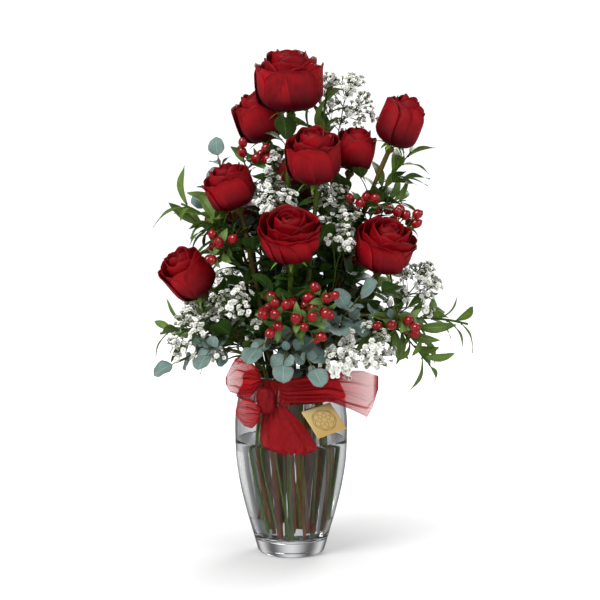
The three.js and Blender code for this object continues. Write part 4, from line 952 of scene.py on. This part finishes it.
def buildSprig(node, kind, blade, bark):
    look = leafLooks[kind]
    dice = random.Random(node)
    skin = newSkin()
    sprig = leafyLines(node)
    leaves = 0
    for k, shoot in enumerate(sprig):
        organ = shoot["tip"] - shoot["base"]
        isLeaf = shoot["width"] > 5 * mm and organ.length > 8 * mm
        stem = shoot["stem"] + [shoot["base"]]
        stem = relaxed(stem, 3) if len(stem) > 2 else stem
        length = sum((b - a).length for a, b in zip(stem, stem[1:]))
        thick = look["stem"] if k == 0 else look["twig"]
        if length > 2 * mm:
            count = max(4, int(length / (7 * mm)))
            line = smoothLine(stem, count)
            radii = [thick * (1 - 0.45 * max(0, i / (count - 1) - 0.3)) for i in range(count)]
            addTube(skin, line, radii, 8 if k == 0 else 6, dice.uniform(0.2, 0.8), 1)
            if length > 14 * mm:
                leaves += addExtras(skin, line, look, dice, k == 0)
        if isLeaf:
            usual = organ.length * look["ratio"]
            width = min(max(shoot["width"] * 1.05, usual), usual * 1.35)
            addLeaf(skin, shoot["base"], shoot["tip"] + organ * 0.03, shoot["flat"], look, width, dice.uniform(0, 1))
            addPetiole(skin, stem[-1], shoot["base"] + organ * (look["petiole"] + 0.03), look["twig"] * 0.7, 1)
            leaves += 1
    print("  ", node, leaves, "leaves")
    makePiece("sprig_" + node, skin, [blade, bark], [node], 0.35 * mm)


def addExtras(skin, line, look, dice, main):
    # leaves between those that the solid has, in turn round the top of the shoot
    run = 0.0
    total = sum((b - a).length for a, b in zip(line, line[1:]))
    leafy = 190 * mm if main else 110 * mm
    made, turn = 0, dice.uniform(0, 6.28)
    following = max(total - leafy, 0.0)
    for a, b, (direction, side, other) in zip(line, line[1:], frames(line)):
        run += (b - a).length
        while following < run:
            following += look["spacing"] * dice.uniform(0.8, 1.2)
            turn += goldenAngle
            out = side * math.cos(turn) + other * math.sin(turn)
            aim = (out * dice.uniform(0.75, 1.1) + direction * dice.uniform(0.3, 0.8) - up * 0.1).normalized()
            length = look["extra"] * dice.uniform(0.7, 1.1)
            start = a.lerp(b, dice.random())
            tip = start + aim * length
            if not (isClear(tip, 4 * mm) and isClear(start.lerp(tip, 0.5), 4 * mm)):
                continue
            if not all(cadLow[i] - 4 * mm < tip[i] < cadHigh[i] + 4 * mm for i in range(3)):
                continue
            flat = (direction + up * 0.6 + out * dice.uniform(-0.3, 0.3)).normalized()
            width = length * look["ratio"] * dice.uniform(0.85, 1.1)
            addLeaf(skin, start, tip, flat, look, width, dice.uniform(0, 1))
            addPetiole(skin, start, start + aim * length * (look["petiole"] + 0.05), look["twig"] * 0.6, 1)
            made += 1
    return made


print("greenery")
leafBlades = {
    "eucalyptus": leafSkin("silver dollar eucalyptus leaf, waxy", "3c5450", "6d8781", "93a598", 0.6, 7,
                           wax=0.05, edge="7c6a66"),
    "ruscus": leafSkin("ruscus leaf, smooth", "2c4012", "5c782e", "869c50", 0.42, 3, side=3.0),
    "salal": leafSkin("salal leaf, leathery", "16240c", "364c1e", "62783c", 0.36, 8),
}
twigBarks = {
    "eucalyptus": stemSkin("eucalyptus twig, pinkish grey bark", "7c4a24", "b49a58"),
    "ruscus": stemSkin("ruscus stem, dark green", "34680a", "88b824"),
    "salal": stemSkin("salal stem, red-brown bark", "78320e", "b86c1c"),
}
for node in sorted(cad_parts):
    kind = node.rsplit("_", 1)[0]
    if kind in leafBlades:
        buildSprig(node, kind, leafBlades[kind], twigBarks[kind])


# long: half a berry's length; neighbours: berries added beside each of the solid's; apart: to their middles
berryLook = {
    "radius": 5.9 * mm, "long": 6.4 * mm, "sides": 14, "rings": 10, "stalk": 0.7 * mm,
    "neighbours": 1, "tries": 14, "apart": 12.5 * mm, "clear": 11 * mm,
}


def addBerry(skin, middle, axis, size, shade):
    # a plump capsule with a short beak
    side = axis.orthogonal().normalized()
    other = axis.cross(side)
    rows, places = [], []
    for i in range(1, berryLook["rings"]):
        v = i / berryLook["rings"]
        angle = math.pi * v
        r = size * berryLook["radius"] * math.sin(angle) ** 0.85 * (1.05 - 0.16 * v)
        z = -math.cos(angle) * size * berryLook["long"]
        turns = [2 * math.pi * j / berryLook["sides"] for j in range(berryLook["sides"])]
        seam = [1 - 0.035 * (0.5 + 0.5 * math.cos(3 * t)) * math.sin(angle) for t in turns]  # three carpels
        rows.append([middle + axis * z + (side * math.cos(t) + other * math.sin(t)) * (r * q)
                     for t, q in zip(turns, seam)])
        places.append([(j / berryLook["sides"], v) for j in range(berryLook["sides"])])
    first = addSheet(skin, rows, places, shade, 0, closed=True)
    addCap(skin, first, berryLook["sides"], middle - axis * (size * berryLook["long"]), False)
    last = first + (len(rows) - 1) * berryLook["sides"]
    addCap(skin, last, berryLook["sides"], middle + axis * (size * berryLook["long"] * 1.16), True)
    skin["places"][-1] = (0.5, 1.0)


def addCalyx(skin, foot, axis, size, slot):
    side = axis.orthogonal().normalized()
    for k in range(5):
        turn = k * 2 * math.pi / 5
        out = side * math.cos(turn) + axis.cross(side) * math.sin(turn)
        across = axis.cross(out)
        rows, places = [], []
        for i in range(5):
            v = i / 4
            half = size * 1.7 * mm * math.sin(math.pi * (0.15 + 0.85 * v)) ** 0.7
            middle = foot + out * size * (1.2 * mm + 4.6 * mm * v) + axis * size * (2.6 * mm * v * v - 0.3 * mm)
            rows.append([middle + across * (half * u) for u in (-1, 0, 1)])
            places.append([(u, v) for u in (-1, 0, 1)])
        addSheet(skin, rows, places, 0.5, slot)


taken = []  # middles of all berries so far


def buildHypericum(node, berry, bark, blade):
    dice = random.Random(node)
    look = leafLooks["hypericum"]
    skin = newSkin()
    grown = []
    for k, shoot in enumerate(leafyLines(node)):
        isBerry = shoot["thick"] > 5 * mm
        stem = shoot["stem"] + [shoot["base"]]
        stem = relaxed(stem, 2) if len(stem) > 2 else stem
        length = sum((b - a).length for a, b in zip(stem, stem[1:]))
        if length > 2 * mm:
            count = max(4, int(length / (7 * mm)))
            line = smoothLine(stem, count)
            thick = look["stem"] if k == 0 else look["twig"]
            addTube(skin, line, [thick * (1 - 0.3 * i / count) for i in range(count)], 7, 0.5, 1)
            for place in range(max(count - 6, 2), count - 1, 2):
                direction, side, other = frames(line)[place]
                turn = dice.uniform(0, 6.28)
                for half in (0, math.pi):
                    out = side * math.cos(turn + half) + other * math.sin(turn + half)
                    tip = line[place] + (out + direction * 0.6).normalized() * dice.uniform(16, 24) * mm
                    if isClear(tip, 2 * mm) and isClear(line[place]):
                        addLeaf(skin, line[place], tip, (direction - out * 0.3).normalized(), look,
                                (tip - line[place]).length * look["ratio"], dice.random(), 2)
        if isBerry:
            axis = (shoot["tip"] - shoot["base"]).normalized()
            size = dice.uniform(0.9, 1.05)
            foot = shoot["middle"] - axis * size * berryLook["long"]
            addPetiole(skin, stem[-1], foot, berryLook["stalk"], 1)
            addBerry(skin, shoot["middle"], axis, size, dice.random())
            addCalyx(skin, foot + axis * 0.6 * mm, axis, size, 2)
            taken.append(shoot["middle"])
            grown.append((shoot["middle"], stem[-1], axis))
    for middle, root, axis in grown:  # each cluster fills up with berries on stalks of their own
        made = 0
        for _ in range(berryLook["tries"]):
            out = Vector((dice.gauss(0, 1), dice.gauss(0, 1), dice.gauss(0, 0.6))).normalized()
            place = middle + out * berryLook["apart"] * dice.uniform(0.95, 1.3)
            if made == berryLook["neighbours"] or not isClear(place, 4 * mm):
                continue
            if any((place - other).length < berryLook["clear"] for other in taken):
                continue
            size = dice.uniform(0.82, 1.0)
            lean = (place - root).normalized().lerp(axis, 0.3).normalized()
            foot = place - lean * size * berryLook["long"]
            addPetiole(skin, root, foot, berryLook["stalk"], 1)
            addBerry(skin, place, lean, size, dice.random())
            addCalyx(skin, foot + lean * 0.6 * mm, lean, size, 2)
            taken.append(place)
            made += 1
    makePiece("berries_" + node, skin, [berry, bark, blade], [node])


print("berries")
berryMaterial = berrySkin()
berryBark = stemSkin("hypericum stem, red-brown bark", "84360c", "c47820")
berryBlade = leafSkin("hypericum leaf, matt green", "39542c", "66853f", "9cae6c", 0.5, 6)
for node in sorted(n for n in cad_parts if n.startswith("hypericum")):
    buildHypericum(node, berryMaterial, berryBark, berryBlade)


# stalk, stem: radii; perHead, perTwig: florets in a head and on a side twig; spread: a head's radius
breathLook = {
    "floret": 3.2 * mm, "stalk": 0.32 * mm, "stem": 1.2 * mm, "perHead": 17, "perTwig": 9, "spread": 11.5 * mm,
}


def addFloret(skin, middle, axis, size, dice):
    # a double floret: two whorls of cupped petals over a small green cup
    side = axis.orthogonal().normalized()
    other = axis.cross(side)
    for count, reach, rise in ((5, 1.0, 0.25), (5, 0.72, 0.75)):
        spin = dice.uniform(0, 6.28)
        for k in range(count):
            turn = spin + k * 2 * math.pi / count
            out = side * math.cos(turn) + other * math.sin(turn)
            across = axis.cross(out)
            rows, places = [], []
            for v in (0.0, 0.5, 1.0):
                half = size * (0.22, 0.55, 0.42)[int(v * 2)]
                lifted = rise * v + 0.25 * math.sin(math.pi * v)
                point = middle + out * (size * reach * v) + axis * (size * lifted)
                rows.append([point + across * (half * u) + axis * (size * 0.12 * abs(u)) for u in (-1, 0, 1)])
                places.append([(u, v) for u in (-1, 0, 1)])
            addSheet(skin, rows, places, dice.random(), 0)
    cup = middle - axis * size * 0.5
    addTube(skin, [cup, middle + axis * size * 0.15], [size * 0.16, size * 0.4], 5, 0.5, 1)


def addHead(skin, root, middle, dice, count, spread):
    for _ in range(count):
        out = Vector((dice.gauss(0, 1), dice.gauss(0, 1), dice.gauss(0.35, 0.9))).normalized()
        place = middle + out * (spread * dice.uniform(0.35, 1.0))
        if not isClear(place, 2 * mm):
            continue
        axis = (place - root + up * 4 * mm).normalized()
        size = breathLook["floret"] * dice.uniform(0.75, 1.1)
        bend = root.lerp(place, 0.55) + out * 1.5 * mm
        addTube(skin, [root, bend, place - axis * size * 0.4], breathLook["stalk"], 4, 0.5, 1)
        addFloret(skin, place, axis, size, dice)


def buildBreath(node, floret, bark):
    dice = random.Random(node)
    skin = newSkin()
    heads = 0
    for k, shoot in enumerate(leafyLines(node)):
        stem = shoot["stem"] + [shoot["base"]]
        stem = relaxed(stem, 2) if len(stem) > 2 else stem
        length = sum((b - a).length for a, b in zip(stem, stem[1:]))
        line = smoothLine(stem, max(4, int(length / (8 * mm)))) if length > 2 * mm else stem
        if length > 2 * mm:
            thick = breathLook["stem"] if k == 0 else breathLook["stalk"] * 1.7
            addTube(skin, line, [thick * (1 - 0.5 * i / len(line)) for i in range(len(line))], 6, 0.5, 1)
        addHead(skin, line[-1], shoot["middle"], dice, breathLook["perHead"], breathLook["spread"])
        heads += 1
        for place in range(len(line) - 2, max(len(line) - 10, 0), -2):  # side twigs below each head
            direction, side, other = frames(line)[place]
            turn = dice.uniform(0, 6.28)
            out = (side * math.cos(turn) + other * math.sin(turn) + direction * 0.9).normalized()
            end = line[place] + out * dice.uniform(12, 22) * mm
            if line[place].z > glassTop + 8 * mm and isClear(end, 4 * mm):
                twig = [line[place], line[place].lerp(end, 0.5) + up * mm, end]
                addTube(skin, twig, breathLook["stalk"] * 1.2, 4, 0.5, 1)
                addHead(skin, end, end + out * 4 * mm, dice, breathLook["perTwig"], breathLook["spread"] * 0.75)
                heads += 1
    print("  ", node, heads, "heads")
    makePiece("florets_" + node, skin, [floret, bark], [node])


print("baby's breath")
floretMaterial = floretSkin()
breathBark = stemSkin("baby's breath stem, pale green", "5c8434", "a4c468", 0.6)
for node in sorted(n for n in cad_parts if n.startswith("babys_breath")):
    buildBreath(node, floretMaterial, breathBark)


def spineOf(node, way, count):
    # middle and half sizes of a solid at even levels along one axis, all but its very ends
    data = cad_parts[node].data
    points = solidPoints(node)
    ends = np.array([e.vertices[:] for e in data.edges])
    a, b = points[ends[:, 0]], points[ends[:, 1]]
    low, high = points[:, way].min(), points[:, way].max()
    made = []
    for share in np.linspace(0.02, 0.98, count):
        level = low + (high - low) * share
        crossing = (a[:, way] - level) * (b[:, way] - level) < 0
        t = ((level - a[crossing, way]) / (b[crossing, way] - a[crossing, way]))[:, None]
        cuts = a[crossing] + (b[crossing] - a[crossing]) * t
        least, most = cuts.min(axis=0), cuts.max(axis=0)
        made.append((Vector((least + most) / 2), Vector((most - least) / 2)))
    return made


# flat: the cut's width and length; folds: gathers across; outward: does the spine run along +X from the knot
bowLooks = {
    "bow_loop_left_upper": {"flat": (0.055, 0.095), "folds": 7, "right": False, "dense": 0.6},
    "bow_loop_left_lower": {"flat": (0.042, 0.066), "folds": 6, "right": False, "dense": 0.6},
    "bow_loop_right": {"flat": (0.062, 0.22), "folds": 6, "right": True, "dense": 1.0},
}


def buildLoop(node, net):
    # a ribbon gathered at the knot, out to its fold and back behind itself
    look = bowLooks[node]
    spine = spineOf(node, 0, 18)
    if not look["right"]:
        spine = spine[::-1]
    width, length = look["flat"]
    count = len(spine)
    rows, places, shades = [], [], []
    for layer in (0, 1):
        for i in range(count):
            k = i if layer == 0 else count - 1 - i
            middle, half = spine[k]
            v = k / (count - 1)
            row, placeRow = [], []
            for j in range(61):
                u = j / 30 - 1
                fold = 0.7 * math.sin(u * look["folds"] * math.pi + layer * 1.3 + 0.5 * math.sin(v * 5))
                fold += 0.4 * math.sin(u * look["folds"] * 5.3 + layer * 2.1 + 1.2 * math.sin(v * 3 + u * 2))
                depth = half.y * (0.25 + 0.55 * fold * (0.35 + 0.65 * v) * (1 - v ** 6))
                depth = (depth if layer else -depth) - half.y * 0.1
                if v > 0.93:
                    depth *= 0.4
                hem = 0.07 * half.z * math.sin(u * 9 + v * 6 + layer) * min(1, v * 2)
                row.append(middle + Vector((0, depth, half.z * u * (0.97 if layer else 1.0) + hem)))
                placeRow.append((u * width / 2, (v if layer == 0 else 2 - v) * length / 2))
                hemmed = 0.7 if abs(u) > 0.97 or v > 0.99 else 0.0
                # denser net along the fold crests, and painted shade there, darkening and filling in the net
                foldDensityAndPaintedShade = 0.75 * max(fold, 0) ** 4 * (1 - 0.7 * v)
                shades.append(min(1.0, look["dense"] * (1 - v) ** 1.3 + hemmed + foldDensityAndPaintedShade))
            rows.append(row)
            places.append(placeRow)
    skin = newSkin()
    addSheet(skin, rows, places, shades)
    piece = makePiece("tulle_" + node, skin, [net], [node])
    print("  ", node, "area", round(sum(f.area for f in piece.data.polygons), 5), "flat", width * length)


bandLook = {"flat": (0.026, 0.38), "gathers": 46, "depth": 0.7 * mm}


def buildBand(net):
    low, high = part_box("bow_band")
    outside, inside = profileOf("bow_band")
    rows, places, shades = [], [], []
    turns = 276
    for i in range(9):
        v = i / 8
        z = low.z + (high.z - low.z) * v
        radius = (radiusAt(outside, z) + radiusAt(inside, z)) / 2 + 0.2 * mm
        row, placeRow = [], []
        for j in range(turns):
            angle = 2 * math.pi * j / turns
            fold = math.sin(angle * bandLook["gathers"] + 1.5 * math.sin(angle * 5) + v * 0.8)
            r = radius + bandLook["depth"] * fold
            droop = 1.2 * mm * math.sin(angle * 3 + 1) * (v - 0.5)
            row.append(Vector((math.cos(angle) * r, math.sin(angle) * r, z + droop)))
            placeRow.append((v * bandLook["flat"][0], angle / (2 * math.pi) * bandLook["flat"][1]))
            shades.append(0.45 + 0.2 * (fold > 0.4) + 0.35 * (i in (0, 8)))
        rows.append(row)
        places.append(placeRow)
    skin = newSkin()
    addSheet(skin, rows, places, shades, closed=True)
    piece = makePiece("tulle_bow_band", skin, [net], ["bow_band"])
    print("   band area", round(sum(f.area for f in piece.data.polygons), 5))


tailLook = {"flat": (0.065, 0.055), "folds": 6}


def buildTail(net):
    # a loose end that falls over the glass, fanned out and gathered at the knot
    spine = spineOf("bow_tail", 2, 12)[::-1]
    outside = profileOf("vase")[0]
    rows, places, shades = [], [], []
    for i, (middle, half) in enumerate(spine):
        v = i / (len(spine) - 1)
        radius = radiusAt(outside, middle.z) + 2.6 * mm
        row, placeRow = [], []
        for j in range(37):
            u = j / 18 - 1
            x = middle.x + half.x * u
            fold = 0.75 * math.sin(u * tailLook["folds"] * math.pi + 0.6 * math.sin(v * 6))
            fold += 0.35 * math.sin(u * tailLook["folds"] * 5.1 + math.sin(v * 4 + u * 2))
            r = radius + 1.4 * mm * fold * (0.4 + 0.6 * v)
            angle = math.asin(max(-1, min(1, x / radius)))
            ragged = 1.5 * mm * math.sin(u * 11) * v ** 3
            row.append(Vector((math.sin(angle) * r, -math.cos(angle) * r, middle.z + ragged)))
            placeRow.append((u * tailLook["flat"][0] / 2, v * tailLook["flat"][1]))
            hemmed = 0.35 if abs(u) > 0.96 or i == len(spine) - 1 else 0.0
            foldDensityAndPaintedShade = 0.45 * max(fold, 0) ** 4 * (1 - 0.5 * v)
            # painted shade: the fall is painted dense and dark all over, most at the knot where the net gathers, and
            # lighter towards its foot
            shades.append(min(1.0, 0.92 - 0.34 * v + foldDensityAndPaintedShade + hemmed))
        rows.append(row)
        places.append(placeRow)
    skin = newSkin()
    addSheet(skin, rows, places, shades)
    piece = makePiece("tulle_bow_tail", skin, [net], ["bow_tail"])
    print("   tail area", round(sum(f.area for f in piece.data.polygons), 5))


def buildKnot(net):
    # the knot: a tight lump of gathered net, its folds running over it
    low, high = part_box("bow_knot")
    middle, half = (low + high) / 2, (high - low) / 2
    levels, turns = 16, 48
    rows, places, shades = [], [], []
    for i in range(1, levels):
        v = i / levels
        angle = math.pi * v
        row, placeRow = [], []
        for j in range(turns):
            turn = 2 * math.pi * j / turns
            fold = 1 + 0.07 * math.sin(turn * 7 + 1.2 * math.sin(v * 7)) + 0.04 * math.sin(turn * 13 + v * 9)
            waist = 0.86 + 0.2 * abs(math.cos(angle)) ** 1.5
            out = math.sin(angle) ** 0.6 * fold * waist * 0.93
            x, y = math.cos(turn) * half.x * out, math.sin(turn) * half.y * out
            row.append(middle + Vector((x, y, -math.cos(angle) * half.z * 0.96)))
            placeRow.append((turn / (2 * math.pi) * 50 * mm, v * 30 * mm))
            shades.append(1.0)
        rows.append(row)
        places.append(placeRow)
    skin = newSkin()
    first = addSheet(skin, rows, places, shades, closed=True)
    addCap(skin, first, turns, middle - up * half.z * 0.97, False)
    addCap(skin, first + (levels - 2) * turns, turns, middle + up * half.z * 0.97, True)
    makePiece("tulle_bow_knot", skin, [net], ["bow_knot"])


cardLook = {"thickness": 0.9 * mm, "bow": 0.9 * mm, "squares": 12, "edge": 0.25 * mm}


def buildCard(card):
    # a card that bows a little; its sides are read from the corners of its solid
    points = solidPoints("tag_card")
    middle = Vector(points.mean(axis=0))
    corners = np.unique(np.round(points, 5), axis=0)
    order = np.linalg.norm(corners - corners[0], axis=1).argsort()  # itself, the thickness, then the sides
    one, other = (Vector(corners[order[k]] - corners[0]) for k in (2, 3))
    if abs(one.dot(other)) > 1e-5:
        other = Vector(corners[order[4]] - corners[0])
    if one.x < 0:
        one = -one
    if other.z < 0:
        other = -other
    if abs(one.z) > abs(other.z):
        one, other = other, one
    facing = one.cross(other).normalized()
    facing = facing if facing.y < 0 else -facing
    shares = np.linspace(0, 1, cardLook["squares"] + 1)
    rows, places = [], []
    for v in shares:
        bowed = middle + other * (v - 0.5) + facing * (cardLook["bow"] * math.sin(math.pi * v))
        rows.append([bowed + one * (u - 0.5) for u in shares])
        places.append([(u, v) for u in shares])
    skin = newSkin()
    addSheet(skin, rows, places)
    piece = makePiece("card_tag", skin, [card], ["tag_card"], cardLook["thickness"])
    edge = piece.modifiers.new("soft edge", "BEVEL")
    edge.width, edge.segments = cardLook["edge"], 2


print("bow and card")
netMaterial = netCloth()
buildBand(netMaterial)
for node in bowLooks:
    buildLoop(node, netMaterial)
buildTail(netMaterial)
buildKnot(netMaterial)
buildCard(goldCard())


studio = {
    "camera": (10 * mm, -1.7, 0.44), "lookAt": (10 * mm, 0, 0.287), "lens": 91,
    "lightsAim": (0, 0, 0.3), "panels": 8,
    "key": {"place": (-1.3, -1.5, 1.9), "size": 1.2, "power": 55},
    "fill": {"place": (1.6, -1.4, 0.9), "size": 1.4, "power": 12},
    "rim": {"place": (0.7, 1.5, 1.6), "size": 1.0, "power": 24},
}


def aimed(thing, place, target):
    thing.location = place
    thing.rotation_mode = "QUATERNION"
    thing.rotation_quaternion = (Vector(target) - Vector(place)).to_track_quat("-Z", "Y")
    bpy.context.scene.collection.objects.link(thing)


def buildFloor():
    # matt white board with painted light: it glows, faintly beside the vase and strongly further out, so that it
    # fades into the white behind
    bpy.ops.mesh.primitive_plane_add(size=30, location=(0, 0, 0))
    floor = bpy.context.object
    floor.name = "floor"
    material, tree = newMaterial("matt white studio floor")
    place = addNode(tree, "TexCoord", output="Object")
    grain = addNode(tree, "TexNoise", {"Vector": place, "Scale": 1 / (300 * mm), "Detail": 2.0}, "Fac")
    away = addNode(tree, "VectorMath", {0: place}, "Value", operation="LENGTH")
    tone = addNode(tree, "Mix", {0: grain, 6: colour("cecece"), 7: colour("cacaca")}, 2, data_type="RGBA")
    # painted light: the floor's glow rises with the distance from the vase
    paintedGlow = addNode(tree, "ValToRGB", {0: away}, stops=[(0.06, 0.14), (0.42, 0.72)])
    shader = addNode(tree, "BsdfPrincipled", {
        "Base Color": tone, "Roughness": 0.9, "Specular IOR Level": 0.1,
        "Emission Color": colour("ffffff"), "Emission Strength": paintedGlow,
    })
    addNode(tree, "OutputMaterial", {"Surface": shader})
    floor.data.materials.append(material)
    floor.visible_glossy = floor.visible_transmission = False  # glass and gloss see the panels instead


def buildSurroundings():
    # tall white panels all round, with grey between them: glass gets its dark outlines from the gaps
    world = bpy.data.worlds.new("white sweep")
    bpy.context.scene.world = world
    world.use_nodes = True
    tree = world.node_tree
    tree.nodes.clear()
    toWorld = addNode(tree, "SeparateXYZ", {0: addNode(tree, "TexCoord", output="Generated")}).node.outputs
    azimuth = addNode(tree, "Math", {0: toWorld[1], 1: toWorld[0]}, operation="ARCTAN2")
    turn = addNode(tree, "Math", {0: azimuth, 1: float(studio["panels"])}, operation="MULTIPLY")
    panels = addNode(tree, "Math", {0: turn}, operation="COSINE")
    glow = addNode(tree, "Math", {0: panels, 1: 0.32, 2: 0.24}, operation="MULTIPLY_ADD")
    rays = addNode(tree, "LightPath").node.outputs
    strength = addNode(tree, "Math", {0: rays["Is Camera Ray"], 1: 0.5, 2: 0.6}, operation="MULTIPLY_ADD")
    strength = addNode(tree, "Math", {0: rays["Is Glossy Ray"], 1: -0.4, 2: strength}, operation="MULTIPLY_ADD")
    through = addNode(tree, "Math", {0: rays["Is Transmission Ray"], 1: glow}, operation="MULTIPLY")
    strength = addNode(tree, "Math", {0: strength, 1: through}, operation="ADD")
    back = addNode(tree, "Background", {"Color": colour("ffffff"), "Strength": strength})
    addNode(tree, "OutputWorld", {"Surface": back})


def buildStudio():
    buildFloor()
    buildSurroundings()
    for name in ("key", "fill", "rim"):
        data = bpy.data.lights.new(name, "AREA")
        data.energy = studio[name]["power"]
        data.size = studio[name]["size"]
        aimed(bpy.data.objects.new(name, data), studio[name]["place"], studio["lightsAim"])
    data = bpy.data.cameras.new("camera")
    data.lens = studio["lens"]
    camera = bpy.data.objects.new("camera", data)
    aimed(camera, studio["camera"], studio["lookAt"])
    bpy.context.scene.camera = camera
    bpy.context.scene.view_settings.view_transform = "Standard"


print("studio")
buildStudio()
